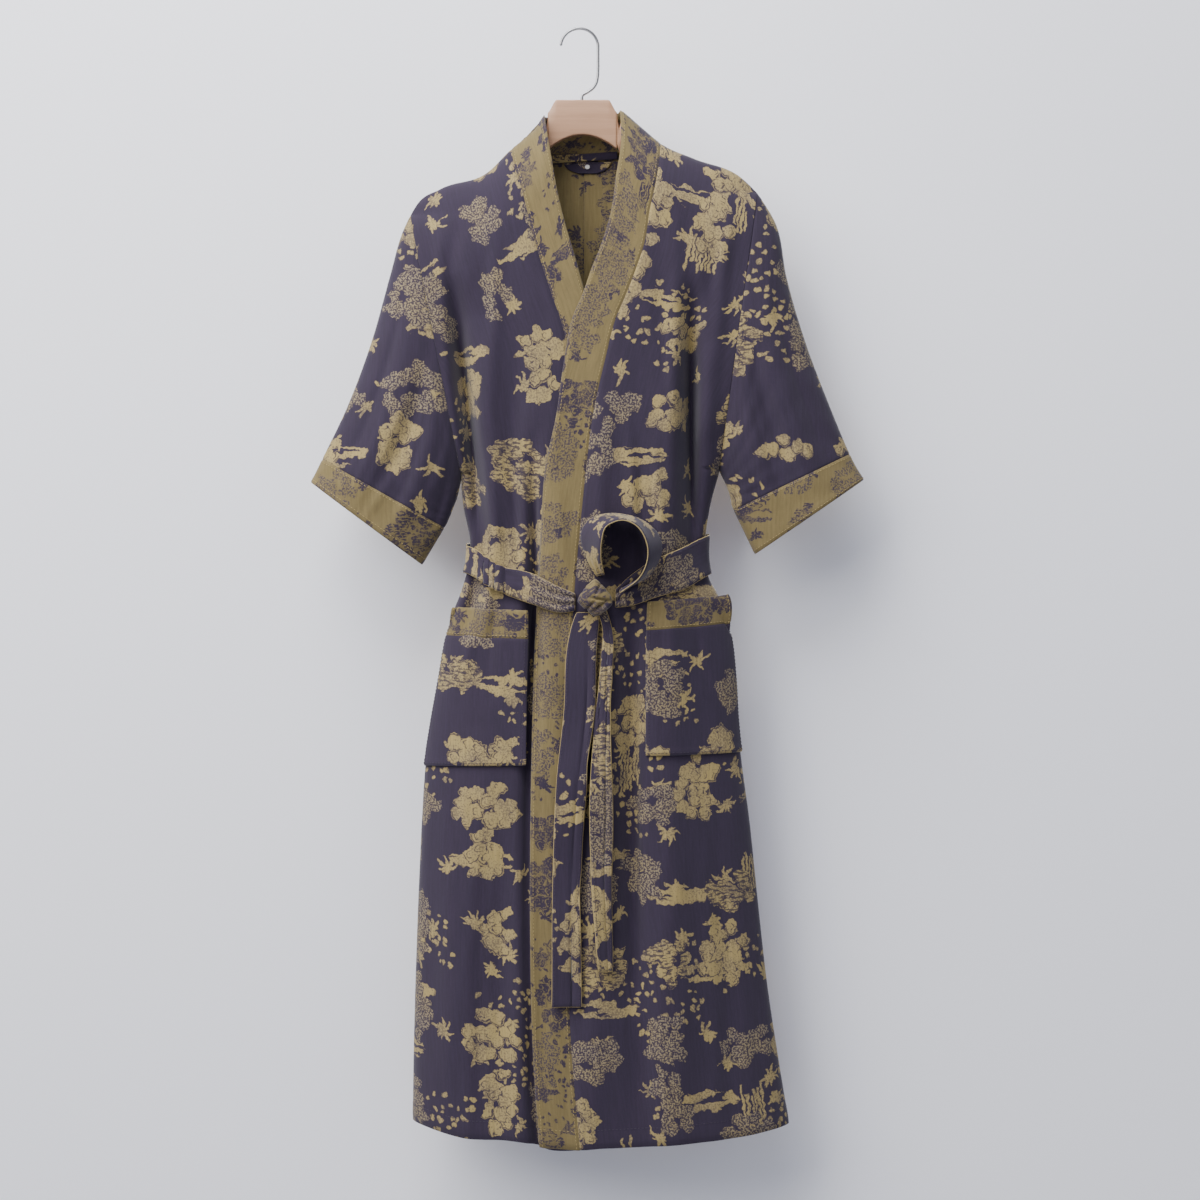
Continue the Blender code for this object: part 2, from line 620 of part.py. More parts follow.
def make_backs(cloth, gold):
    corner = BACK_COLUMNS[0]
    seam_normals = {}
    for side in ("right", "left"):
        grid = back_patch(side)
        normals = panel_normals(grid, side, "back", corner + 1)
        centre = normals[:, -1].copy()
        centre[:, 0] = 0
        normals[:, -1] = centre / np.linalg.norm(centre, axis=1, keepdims=True)
        seam_normals[side] = normals[-1, corner:]
        grid = shift_side_edges(grid, side, "back", corner + 1)
        inward = np.array((1.0 if side == "right" else -1.0, 0.0, 0.0))
        grid[:, -1] -= inward * SEAM_GAP / 2
        grid[-1, corner + 1:, 2] -= SEAM_GAP / 2
        grid[-1, corner + 1, 2] -= NECK_CORNER_GAP
        grid[-1, corner] -= inward * NECK_CORNER_GAP
        part_at_waist("back_" + side, grid, normals, cloth)
    make_neck_band(seam_normals, gold)


def make_neck_band(seam_normals, gold):
    places = neck_shares("right") + neck_shares("left")[-2::-1]
    middle = BACK_COLUMNS[1]
    grid = np.array([[neck_point(place, level / NECK_LEVELS) for place in places]
                     for level in range(NECK_LEVELS + 1)])
    normals = grid_normals(grid)
    if normals[1, middle, 1] < 0:
        normals = -normals
    normals[0, :middle + 1] = seam_normals["right"]
    normals[0, middle:] = seam_normals["left"][::-1]
    for r in range(NECK_LEVELS + 1):
        for c in (0, -1):
            normals[r, c] = shoulder_normal(grid[r, c, 0])
            grid[r, c, 1] += SEAM_GAP / 2
    grid[0, 1:-1, 2] += SEAM_GAP / 2
    grid[0, 0, 0] += SEAM_GAP / 2
    grid[0, -1, 0] -= SEAM_GAP / 2
    cloth_wall("band_neck", grid, normals, gold)


def sleeve_ring(side, place):
    """One section of a sleeve: over the front from the upper fold line and back behind."""
    table = SLEEVES[side]
    top = np.array((table.at(place, "top_x"), 0.0, table.at(place, "top_z")))
    low = np.array((table.at(place, "low_x"), 0.0, table.at(place, "low_z")))
    depth = table.at(place, "depth")
    ring = []
    for k in range(2 * ROWS_ARM):
        turn = math.pi * k / ROWS_ARM
        share = (1 - math.cos(turn)) / 2
        point = top + (low - top) * share
        rise = 0.0
        for at, start, end, width, height in SLEEVE_FOLDS:
            along = (place / (1000 * MM) - start) / (end - start)
            if 0 < along < 1 and place > 0:
                around = at if turn < math.pi else 1 - at
                rise += height * MM * math.sin(math.pi * along) * math.exp(
                    -((share - around) / width) ** 2)
        facing = -1 if turn < math.pi else 1
        point[1] = -depth * math.sin(turn) + facing * rise * smooth_step(abs(math.sin(turn)) * 2)
        ring.append(point)
    return ring


def make_sleeves(cloth, gold):
    for side in ("right", "left"):
        places = [CUFF_SEAM * t / SLEEVE_ROWS for t in range(SLEEVE_ROWS + 1)]
        places += [blend(CUFF_SEAM, CUFF_END, (t + 1) / CUFF_ROWS) for t in range(CUFF_ROWS)]
        grid = np.array([sleeve_ring(side, place) for place in places])
        normals = grid_normals(grid, closed=True)
        if normals[SLEEVE_ROWS // 2, ROWS_ARM // 2, 1] > 0:
            normals = -normals
        up, inward = armhole_axis(side)
        for k in range(2 * ROWS_ARM):
            turn = math.pi * k / ROWS_ARM
            normals[0, k] = math.cos(turn) * up - math.sin(turn) * np.array((0.0, 1.0, 0.0))
        grid[0] -= inward * SEAM_GAP / 2
        grid[0, ROWS_ARM] -= inward * UNDERARM_GAP
        seam = SLEEVE_ROWS
        sleeve, cuff = grid[:seam + 1].copy(), grid[seam:].copy()
        along = grid[seam + 1] - grid[seam]
        along /= np.linalg.norm(along, axis=1, keepdims=True)
        sleeve[-1] -= along * SEAM_GAP / 2
        cuff[0] += along * SEAM_GAP / 2
        cloth_wall("sleeve_" + side, sleeve, normals[:seam + 1], cloth, closed=True)
        cloth_wall("cuff_" + side, cuff, normals[seam:], gold, closed=True)


def laid_out(grid, normals, wall, gap=LAID_GAP):
    """Points of a piece that lies on a panel: the panel's own points, moved out."""
    return grid + normals * (WALL / 2 + gap + wall / 2)


def pocket_grid(side):
    inner = POCKETS[side]
    rows = []
    for r in range(POCKET_ROWS + 1):
        row = []
        for c in range(POCKET_COLUMNS + 1):
            t = c / POCKET_COLUMNS
            top = blend(POCKET_TOP[side][0], POCKET_TOP[side][1], t)
            low = blend(POCKET_LOW[side][0], POCKET_LOW[side][1], t)
            band = top - POCKET_BAND
            height = top if r == 0 else blend(band, low, (r - 1) / (POCKET_ROWS - 1))
            edge = side_x(side, height) + (1.0 if side == "right" else -1.0) * POCKET_INSET
            x = blend(inner.at(height, "inner"), edge, 1 - (1 - t) ** POCKET_CROWD)
            row.append((x, outer_front_y(x, height), height))
        rows.append(row)
    return np.array(rows)


def make_pockets(cloth, gold):
    for side in ("right", "left"):
        grid = pocket_grid(side)
        normals = grid_normals(grid)
        if normals[POCKET_ROWS // 2, POCKET_COLUMNS // 2, 1] > 0:
            normals = -normals
        grid = laid_out(grid, normals, WALL)
        band, bag = grid[:2].copy(), grid[1:].copy()
        band[-1, :, 2] += SEAM_GAP / 2
        bag[0, :, 2] -= SEAM_GAP / 2
        cloth_wall("pocket_band_" + side, band, normals[:2], gold)
        cloth_wall("pocket_" + side, bag, normals[1:], cloth)


def across_belt(column):
    """Place across the belt, from 1 at its upper or left edge to -1 at the other."""
    return 1 - 2 * column / BELT_COLUMNS


def belt_grid(table, side, end, face):
    """Rows across the belt from a side seam to its end, on the cloth's own points."""
    start = side_x(side, table.at(-1 if side == "right" else 1, "height"))
    rows = []
    for t in BELT_STEPS:
        x = blend(start, end, t)
        row = []
        for j in range(BELT_COLUMNS + 1):
            height = table.at(x, "height") + table.at(x, "half") * across_belt(j)
            shift = (side_x(side, height) - start) * (1 - t) ** 3
            if face == "front":
                y = outer_front_y(x + shift, height, True) - BELT_SPARE * (1 - t) ** 5
            else:
                y = back_y(x + shift, height, True) + BELT_SPARE * (1 - t) ** 5
            shift += math.copysign(BELT_SPARE, start) * (1 - t) ** 5
            row.append((x + shift, y, height))
        rows.append(row)
    return np.array(rows)


def make_belt(cloth):
    for side, table in (("right", BELT_RIGHT), ("left", BELT_LEFT)):
        grid = belt_grid(table, side, BELT_ENDS[side], "front")
        lay_belt("belt_front_" + side, grid, cloth, -1)
    right = belt_grid(BELT_BACK, "right", MIDDLE, "back")
    left = belt_grid(BELT_BACK, "left", MIDDLE, "back")
    lay_belt("belt_back", np.concatenate([right, left[-2::-1]]), cloth, 1, both_ends=True)


def lay_belt(name, grid, cloth, facing, both_ends=False):
    normals = grid_normals(grid)
    if normals[len(BELT_STEPS) // 2, 1, 1] * facing < 0:
        normals = -normals
    for end in (0, -1) if both_ends else (0,):
        normals[end] = (math.copysign(1, grid[end, 0, 0]), 0, 0)
        grid[end, :, 1] = facing * SEAM_GAP / 2
    cloth_wall(name, laid_out(grid, normals, BELT_WALL, BELT_GAP), normals, cloth, wall=BELT_WALL)


def make_tails(cloth):
    for name, table in (("belt_tail_long", TAIL_LONG), ("belt_tail_short", TAIL_SHORT)):
        heights = np.linspace(table.columns[0][-1], table.columns[0][0], TAIL_ROWS)
        rows = []
        for height in heights:
            row = []
            for j in range(BELT_COLUMNS + 1):
                x = table.at(height, "x") - table.at(height, "half") * across_belt(j)
                row.append((x, outer_front_y(x, height, True), height))
            rows.append(row)
        grid = np.array(rows)
        normals = grid_normals(grid)
        if normals[TAIL_ROWS // 4, 1, 1] > 0:
            normals = -normals
        cloth_wall(name, laid_out(grid, normals, BELT_WALL, BELT_GAP), normals, cloth, wall=BELT_WALL)


def make_bow(cloth):
    rows = []
    base = outer_front_y(*BOW_AT) + BOW_SEAT
    for near_x, near_z, near_y, far_x, far_z, far_y in BOW:
        near = np.array((near_x, base / MM - near_y, near_z)) * MM
        far = np.array((far_x, base / MM - far_y, far_z)) * MM
        rows.append([blend(near, far, j / BELT_COLUMNS) for j in range(BELT_COLUMNS + 1)])
    coarse = np.array(rows)
    fine = []
    for k in range(len(coarse) - 1):
        before = coarse[max(k - 1, 0)]
        after = coarse[min(k + 2, len(coarse) - 1)]
        for t in (0.0, 0.5):
            fine.append(catmull(before, coarse[k], coarse[k + 1], after, t))
    fine.append(coarse[-1])
    grid = np.array(fine)
    cloth_wall("belt_bow", grid, grid_normals(grid), cloth, wall=BELT_WALL)


def catmull(a, b, c, d, t):
    """A point of the smooth curve through four points, between the second and the third."""
    return 0.5 * (2 * b + (c - a) * t + (2 * a - 5 * b + 4 * c - d) * t * t
                  + (3 * b - a - 3 * c + d) * t ** 3)


def make_knot(cloth):
    builder = bmesh.new()
    bmesh.ops.create_uvsphere(builder, u_segments=KNOT_FACES[0], v_segments=KNOT_FACES[1], radius=1.0)
    y = outer_front_y(*KNOT_AT, True) - WALL / 2 - BELT_GAP - KNOT_SIZE[1]
    for vert in builder.verts:
        x, depth, z = vert.co
        waist = 1 - KNOT_WAIST * math.cos(2.2 * (x + z)) * abs(z)
        vert.co = Vector((KNOT_AT[0] + KNOT_SIZE[0] * x * waist, y + KNOT_SIZE[1] * depth,
                          KNOT_AT[1] + KNOT_SIZE[2] * z))
    finish_object("belt_knot", builder, cloth)


def make_neck_details(cloth, gold, pearl):
    """The hanging loop across the back neck, the half-moon patch below it and its button."""
    rows, columns = PATCH_FACES
    grid = []
    for r in range(rows + 1):
        share = r / rows
        half = PATCH_HALF * math.sqrt(1 - (share * PATCH_TAPER) ** 2)
        height = PATCH_TOP - PATCH_DEEP * share
        xs = [PATCH_X + half * (2 * c / columns - 1) for c in range(columns + 1)]
        grid.append([(x, back_y(x, height), height) for x in xs])
    gap = WALL / 2 + SEAM_GAP + WALL / 2
    lay_inside("neck_patch", grid, gap, PATCH_WALL, gold)

    (left, left_height), (right, right_height) = LOOP_ENDS
    grid = []
    for c in range(LOOP_FACES + 1):
        share = c / LOOP_FACES
        x, height = blend(left, right, share), blend(left_height, right_height, share)
        grid.append([(x, back_y(x, height + drop), height + drop) for drop in (LOOP_HALF, 0, -LOOP_HALF)])
    lay_inside("hang_loop", grid, gap + LOOP_CLEAR, LOOP_WALL, cloth)

    builder = bmesh.new()
    bmesh.ops.create_cone(builder, cap_ends=True, segments=BUTTON_SIDES, radius1=BUTTON_BACK,
                          radius2=BUTTON_FACE, depth=BUTTON_THICK)
    out = gap + PATCH_WALL / 2 + SEAM_GAP + BUTTON_CLEAR + BUTTON_THICK / 2
    depth = back_y(PATCH_X, BUTTON_HEIGHT) - out
    for vert in builder.verts:
        x, y, z = vert.co
        vert.co = Vector((PATCH_X + x, depth - z, BUTTON_HEIGHT + y))
    finish_object("neck_button", builder, pearl)


def lay_inside(name, rows, distance, wall, material):
    """A piece that lies on the inside of the backs, given as points of their middle."""
    grid = np.array(rows)
    normals = grid_normals(grid)
    if normals[len(rows) // 2, grid.shape[1] // 2, 1] > 0:
        normals = -normals
    cloth_wall(name, grid + normals * distance, normals, material, wall=wall)


def plate_section(x):
    """Height of the wood's upper and lower edge at x across the plate."""
    left, right = PLATE_ENDS
    middle = (left + right) / 2
    across = abs(x - middle) / (right - left) * 2
    top = PLATE_TOP - PLATE_FALL * smooth_step((across - PLATE_FLAT) / (1 - PLATE_FLAT))
    return top, PLATE_LOW - PLATE_BOW * across ** 2


def arm_section(x):
    """The same across an arm, which follows the shoulder line below its cloth."""
    tip = TIP[side_of(x)][0]
    near = NECK_RIGHT if x < MIDDLE else NECK_LEFT
    share = abs(x - near) / abs(tip - near)
    top = SHOULDER.at(x, "height") - WOOD_CLEAR
    slope = abs(shoulder_height(x + MM) - shoulder_height(x - MM)) / (2 * MM)
    top -= WOOD_CLEAR * (math.sqrt(1 + slope * slope) - 1)
    top -= ARM_DROP * (smooth_step((share - 0.8) / 0.2) + smooth_step((0.15 - share) / 0.15))
    return top, top - blend(*ARM_DEEP, share)


def make_hanger(wood, steel):
    """The plate and its two arms as one sweep of eight-sided sections, and the wire hook."""
    builder = bmesh.new()
    rings = []
    for x in (value * MM for value in WOOD_PLACES):
        plate = PLATE_ENDS[0] < x < PLATE_ENDS[1]
        top, low = plate_section(x) if plate else arm_section(x)
        half = PLATE_HALF if plate else ARM_HALF
        crown, shoulder = PLATE_CROWN if plate else ARM_CROWN
        side = [(half * crown, top), (half, top - shoulder), (half, low + WOOD_CHAMFER),
                (half * WOOD_LOW_SHARE, low)]
        outline = side + [(-y, z) for y, z in reversed(side)]
        rings.append([builder.verts.new((x, y, z)) for y, z in outline])
    for a, b in zip(rings, rings[1:]):
        for k in range(8):
            m = (k + 1) % 8
            builder.faces.new((a[k], a[m], b[m], b[k]))
    builder.faces.new(rings[0])
    builder.faces.new(rings[-1])
    finish_object("hanger_wood", builder, wood)

    curve = bpy.data.curves.new("hanger_hook", "CURVE")
    curve.dimensions = "3D"
    curve.bevel_depth = WIRE
    curve.bevel_resolution = 2
    curve.use_fill_caps = True
    centre = WIRE - HOOK_RADIUS
    points = []
    for k in range(HOOK_POINTS):
        turn = math.radians(HOOK_START * (1 - k / (HOOK_POINTS - 1)))
        points.append((HOOK_RADIUS * math.cos(turn), centre + HOOK_RADIUS * math.sin(turn)))
    points += [(x * MM, z * MM) for x, z in HOOK_STEM]
    points.append((STEM_X, PLATE_TOP + SEAM_GAP))
    spline = curve.splines.new("POLY")
    spline.points.add(len(points) - 1)
    for point, (x, z) in zip(spline.points, points):
        point.co = (x, 0.0, z, 1.0)
    hook = bpy.data.objects.new("hanger_hook", curve)
    curve.materials.append(steel)
    bpy.context.collection.objects.link(hook)


def main():
    for item in list(bpy.data.objects):
        bpy.data.objects.remove(item, do_unlink=True)
    cloth = make_material("dark cloth", DARK, 0.85)
    gold = make_material("gold cloth", GOLD, 0.85)
    make_fronts(cloth, gold)
    make_backs(cloth, gold)
    make_sleeves(cloth, gold)
    make_pockets(cloth, gold)
    make_belt(cloth)
    make_tails(cloth)
    make_bow(cloth)
    make_knot(cloth)
    make_neck_details(cloth, gold, make_material("pearl", PEARL, 0.4))
    make_hanger(make_material("beech", WOOD, 0.55), make_material("steel wire", STEEL, 0.3, 1.0))


main()
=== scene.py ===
"""Looks of a belted kimono robe on a wooden hanger: fine cloth, weave, stitches, wood and wire."""

import math

import bmesh
import bpy
import numpy as np
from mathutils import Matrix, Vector


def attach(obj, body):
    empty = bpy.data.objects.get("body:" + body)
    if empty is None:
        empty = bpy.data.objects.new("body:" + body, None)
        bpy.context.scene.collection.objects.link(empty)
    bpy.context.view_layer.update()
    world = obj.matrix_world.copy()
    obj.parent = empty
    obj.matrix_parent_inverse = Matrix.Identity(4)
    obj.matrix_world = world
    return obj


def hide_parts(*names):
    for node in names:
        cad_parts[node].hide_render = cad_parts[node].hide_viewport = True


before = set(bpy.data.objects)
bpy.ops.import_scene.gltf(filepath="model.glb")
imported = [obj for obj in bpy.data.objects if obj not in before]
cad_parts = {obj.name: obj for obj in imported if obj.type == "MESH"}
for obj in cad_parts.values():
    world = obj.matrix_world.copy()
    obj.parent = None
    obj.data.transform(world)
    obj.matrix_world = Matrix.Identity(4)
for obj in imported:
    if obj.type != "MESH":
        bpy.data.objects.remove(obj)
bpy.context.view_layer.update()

bl_info = {
    "name": "Kimono Robe Looks",
    "version": (1, 0, 0),
    "blender": (4, 5, 0),
    "location": "View3D > Sidebar > Robe",
    "description": "Makes the fine cloth, trims, hanger and studio of a belted kimono robe",
    "category": "Object",
}

MM = 0.001
WALL = 1.8 * MM             # cloth of the body, sleeves and pockets
BELT_WALL = 2.2 * MM        # the belt is the same cloth, doubled
SEAM_GAP = 0.3 * MM         # between pieces that are sewn together
LAID_GAP = 1.3 * MM         # between a pocket and the front under it
BELT_GAP = 0.8 * MM         # between the belt and the cloth under it
BELT_SPARE = 1.8 * MM       # how far the belt stands off at the side seams
HEM_RAISE = 0.35 * MM       # a turned hem is this much thicker on each side
HEM_GROOVE = 0.30 * MM      # depth of the groove that a hem's stitches pull in
HEM_SOFT = 1.5 * MM         # width over which a hem's step fades
HEM_WIDTH = 22.0 * MM       # width of the turned hem of fronts and backs
BAND_TURN = 6.0 * MM        # width of the turned edge of the neck bands
SMALL_TURN = 5.0 * MM       # width of the turned edges of cuffs and pockets
HEM_STITCH = 20.0 * MM      # how far inside an edge the stitches run: at the hem,
EDGE_STITCH = 4.0 * MM      # at the outer edge of the bands and cuffs,
SEAM_STITCH = 2.0 * MM      # beside seams and round the pockets,
BELT_STITCH = 2.5 * MM      # and along the belt
RIM_SHARE = 0.55            # half thickness of the cloth at its very edge, as a share
LAP = 5.0 * MM              # how far the left front stands in front of the right one
LAP_END = 140.0 * MM        # x at which the lap has faded out, towards the left side seam
LAP_FADE = 45.0 * MM        # width over which it fades there
LAP_START = 60.0 * MM       # drop below the shoulder line over which it begins
TROUGH = 11.0 * MM          # how far the right front sinks beside the left one's edge
TROUGH_TOP = -590.0 * MM    # where that begins, and over what height
TROUGH_FADE = 120.0 * MM
LAP_RAMP = 24.0 * MM        # width over which what lies on both fronts steps up onto the lap
MIDDLE = 5.0 * MM           # x of the robe's middle
SHOULDER_ROUND = 90.0 * MM  # drop over which the cloth rounds off below the shoulder line
NECK_RISE = 25.0 * MM       # low arch of the shoulder line across the neck hole
ARM_DEPTH = 27.0 * MM       # half thickness of the armholes
ARM_REACH = 1.45            # how quickly that thickness fades towards the middle
SIDE_POWER = 2.6            # how full the robe's section is: 2 is an ellipse
BRIDGE = 12.0 * MM          # how far the belt spans a hollow between two folds
FADE = 26.0 * MM            # width beside a seam in which folds fade out
CREASED = 1.5               # strength of the fine creases
ROWS_BODY = 170             # rows of the fine cloth from hem to underarm, and on to the shoulder
ROWS_ARM = 64


class Table:
    """Rows of sizes in millimetres under named columns, read with a smooth curve."""

    def __init__(self, names, rows):
        self.names = names.split()
        self.columns = np.array(sorted(rows), float).T * MM
        keys = self.columns[0]
        self.slopes = [np.gradient(column, keys) for column in self.columns]

    def at(self, key, name):
        keys = self.columns[0]
        column = self.columns[self.names.index(name)]
        slope = self.slopes[self.names.index(name)]
        key = np.clip(key, keys[0], keys[-1])
        i = np.clip(np.searchsorted(keys, key) - 1, 0, len(keys) - 2)
        span = keys[i + 1] - keys[i]
        t = (key - keys[i]) / span
        start = (1 + 2 * t) * (1 - t) ** 2 * column[i] + t * (1 - t) ** 2 * span * slope[i]
        return start + t * t * (3 - 2 * t) * column[i + 1] + t * t * (t - 1) * span * slope[i + 1]


# The robe's outlines, the same as in the CAD model
SHOULDER = Table("x height", [
    (-194, -214), (-186, -201), (-160, -184), (-103, -163), (-78, -138), (-62, -125), (-47, -110),
    (-40.5, -99), (47, -93), (71, -113), (94, -132), (132, -149), (186, -171), (204, -188)])
NECK_RIGHT = -40.5 * MM
NECK_LEFT = 47.0 * MM
SEAM_RIGHT = -78.0 * MM
SEAM_LEFT = 94.0 * MM
TIP = {"right": (-194 * MM, -214 * MM), "left": (204 * MM, -188 * MM)}
UNDERARM = {"right": (-136 * MM, -509 * MM), "left": (160 * MM, -503 * MM)}
SIDES = Table("height right left", [
    (-509, -136, 160), (-546, -133, 150), (-590, -125, 144), (-612, -126, 144.5), (-632, -131, 149),
    (-650, -137, 159), (-668, -144, 166), (-705, -153, 174), (-745, -160, 178), (-795, -169, 181),
    (-842, -176, 186), (-900, -180, 194), (-985, -184, 203), (-1100, -188, 216), (-1180, -190, 228),
    (-1260, -191, 241)])
HEM = Table("x height", [
    (-195, -1251), (-136, -1265), (-50, -1272), (-38, -1276), (25, -1275), (121, -1271), (190, -1265),
    (245, -1255)])
LEFT_FRONT = Table("height edge seam", [
    (-93, 47, 94), (-134, 48, 93), (-175, 42, 88), (-212, 37, 80), (-250, 26, 74), (-280, 14, 64),
    (-306, 5, 54), (-334, -7, 42), (-380, -16, 30), (-448, -26, 15), (-505, -38, 8), (-573, -43, 1),
    (-640, -47, -5), (-702, -50, -9), (-862, -54, -13), (-1015, -55, -14), (-1160, -52, -9),
    (-1280, -44, 1)])
RIGHT_FRONT = Table("height edge seam", [
    (-99, -40.5, -78), (-128, -36, -78), (-151, -32, -76), (-186, -26, -66), (-225, -17, -56),
    (-259, -7, -47), (-306, 6, -32), (-340, 15, -20), (-448, 38, -6), (-573, 55, 10), (-702, 60, 15),
    (-1015, 66, 21), (-1280, 70, 25)])
DEPTH = Table("height front back", [
    (-90, 26, 24), (-200, 32, 25), (-320, 36, 26), (-450, 38, 27), (-600, 38, 27), (-700, 42, 29),
    (-850, 46, 31), (-1050, 50, 34), (-1280, 56, 38)])

# The largest folds, the same as in the CAD model
FRONT_FOLDS = [  # x_top, x_bottom, top, bottom, width, rise
    (-140, -118, -300, -640, 13, -13), (-112, -96, -330, -620, 13, 5), (-72, -80, -330, -700, 14, -5),
    (-46, -58, -440, -850, 11, -6), (-120, -128, -800, -1330, 26, 6), (-86, -96, -860, -1340, 18, -4),
    (-60, -70, -900, -1350, 16, 5), (128, 133, -300, -640, 12, -14), (152, 150, -360, -640, 9, 7),
    (104, 98, -330, -640, 13, 6), (62, 44, -600, -1050, 15, -7), (30, 20, -420, -600, 12, 4),
    (30, 8, -880, -1330, 18, 5), (104, 118, -840, -1340, 22, 6), (150, 176, -860, -1340, 20, -5),
    (70, 78, -900, -1350, 18, -4), (-150, -120, -215, -330, 18, 4), (150, 140, -190, -320, 18, 4)]
BACK_FOLDS = [  # x_top, x_bottom, top, bottom, width, rise
    (-108, -88, -330, -700, 14, -9), (-70, -56, -380, -720, 14, 6), (-26, -30, -420, -760, 13, -6),
    (38, 34, -400, -760, 13, -6), (78, 64, -360, -720, 14, 6), (118, 108, -330, -700, 14, -9),
    (-120, -140, -760, -1340, 24, 7), (-60, -78, -820, -1340, 22, -6), (-6, -10, -760, -1350, 24, 6),
    (58, 74, -820, -1340, 22, -6), (120, 150, -760, -1340, 26, 7)]

# Finer creases that only the fine cloth has; bow is how far the middle of a crease swings in x
FRONT_CREASES = [  # x_top, x_bottom, top, bottom, width, rise, bow
    (-146, -118, -285, -622, 15, -16, 5), (129, 133, -285, -622, 9, -11, -4),
    (-124, -126, -580, -700, 11, -15, 0), (-104, -106, -600, -700, 6, 4, 0),
    (-55, -49, -460, -850, 7, -6, 3), (60, 60, -630, -1130, 14, -9, 3),
    (22, 5, -655, -1040, 6, -7, 0), (-168, -152, -200, -420, 9, 2.6, 6),
    (-128, -150, -190, -340, 12, -2.2, -6), (-98, -104, -200, -460, 8, 1.8, 5),
    (-150, -128, -380, -600, 6, 2.4, -4), (-122, -104, -400, -606, 5, -2.6, 4),
    (-100, -88, -470, -626, 5, 2.2, -3), (-82, -70, -480, -634, 5, -2.0, 3),
    (-66, -60, -500, -640, 5, 1.8, 2), (178, 158, -190, -400, 9, 2.4, -6),
    (136, 152, -180, -330, 12, -2.2, 6), (112, 120, -210, -430, 9, 1.8, -5),
    (88, 96, -260, -560, 8, -1.8, 6), (84, 92, -470, -618, 6, 2.2, 3),
    (68, 76, -490, -628, 5, -2.0, -3), (52, 62, -430, -634, 6, 1.8, 4),
    (112, 116, -460, -612, 5, -2.4, 3), (140, 138, -420, -600, 5, 2.0, -3),
    (-118, -134, -640, -760, 7, 2.2, 3), (-92, -104, -650, -780, 7, -1.8, -3),
    (96, 110, -650, -770, 8, 2.0, 3), (124, 146, -640, -760, 7, -2.0, -3),
    (-28, -22, -500, -640, 7, 1.6, 3), (-20, -16, -660, -900, 8, -1.6, 4),
    (24, 34, -680, -960, 9, 2.0, -5), (-34, -30, -860, -1290, 12, 1.8, 6),
    (48, 58, -860, -1300, 12, -2.2, 8), (-150, -158, -860, -1290, 14, 2.2, 6),
    (-104, -112, -900, -1300, 9, -2.0, -6), (132, 158, -860, -1300, 12, 2.6, 8),
    (188, 212, -900, -1290, 13, -2.2, 5), (92, 98, -1000, -1300, 9, 1.8, -5)]
BACK_CREASES = [  # x_top, x_bottom, top, bottom, width, rise, bow
    (-150, -140, -220, -420, 12, 2.2, 5), (-110, -118, -230, -520, 10, -1.8, -6),
    (-84, -80, -420, -606, 6, 2.4, 3), (-48, -44, -440, -608, 6, -2.2, -3),
    (-10, -12, -400, -610, 7, 2.0, 4), (22, 20, -450, -610, 6, -2.0, -3),
    (54, 50, -430, -608, 6, 2.2, 3), (96, 88, -420, -604, 6, -2.2, 3),
    (150, 146, -220, -430, 12, 2.2, -5), (-98, -112, -640, -800, 8, 2.2, 4),
    (-40, -48, -650, -860, 9, -2.0, -4), (20, 24, -640, -840, 9, 2.2, 4),
    (84, 98, -640, -800, 8, -2.0, 4), (-150, -160, -880, -1300, 14, -2.2, 6),
    (-92, -104, -900, -1300, 12, 2.4, -7), (-34, -40, -880, -1300, 12, -2.4, 6),
    (30, 38, -900, -1300, 13, 2.4, 6), (92, 108, -880, -1300, 12, -2.2, -6),
    (164, 196, -900, -1290, 14, 2.2, 6)]

# Folds that lean over the trough beside them; lean is how far their crest moves in x
FRONT_LEANS = [  # x_top, x_bottom, top, bottom, width, lean, bow
    (-131, -103, -290, -640, 11, -4, 5), (150, 152, -290, -640, 10, -5, -4),
    (-36, -42, -440, -640, 9, -5, 3), (76, 78, -640, -1130, 10, -6, 3)]
BACK_LEANS = [  # the same for the back
    (-92, -74, -330, -620, 11, -7, 3), (104, 94, -330, -620, 11, 7, -3)]

# Sleeve sections: place along the sleeve in thousandths, upper and lower fold line, half thickness
SLEEVES = {
    "right": Table("place top_x top_z low_x low_z depth", [
        (0, -194, -214, -136, -509, 27), (80, -203, -234, -137, -517, 29),
        (250, -217, -283, -140, -533, 30), (500, -238, -358, -146, -550, 29),
        (750, -265, -431, -151, -562, 27), (1000, -295, -494, -156, -572, 25),
        (1250, -308, -520, -181, -614, 25)]),
    "left": Table("place top_x top_z low_x low_z depth", [
        (0, 204, -188, 160, -503, 27), (80, 223, -219, 162, -508, 29),
        (250, 237, -283, 167, -518, 30), (500, 259, -359, 172, -530, 29),
        (750, 285, -428, 175, -541, 27), (1000, 310, -488, 178, -552, 25),
        (1250, 326, -517, 202, -602, 25)]),
}
CUFF_SEAM = 1000 * MM
CUFF_END = 1250 * MM
# Folds of the sleeves: place round the half section at the start and the end (0 upper fold line,
# 1 lower), start and end along the sleeve, width as a share of the half section, rise in millimetres
SLEEVE_FOLDS = [
    (0.30, 0.30, 0.10, 1.35, 0.09, 4.5), (0.50, 0.50, 0.00, 1.00, 0.07, -5.0),
    (0.70, 0.70, 0.15, 1.30, 0.08, 4.0), (0.16, 0.20, 0.05, 1.10, 0.035, -1.8),
    (0.40, 0.38, 0.20, 1.30, 0.030, 1.8), (0.60, 0.63, 0.10, 1.20, 0.030, -1.8),
    (0.84, 0.80, 0.00, 0.90, 0.040, 2.2), (0.24, 0.28, 0.45, 1.30, 0.025, -1.3),
    (0.54, 0.48, 0.55, 1.30, 0.028, 1.6), (0.90, 0.93, 0.30, 1.15, 0.030, -1.8)]

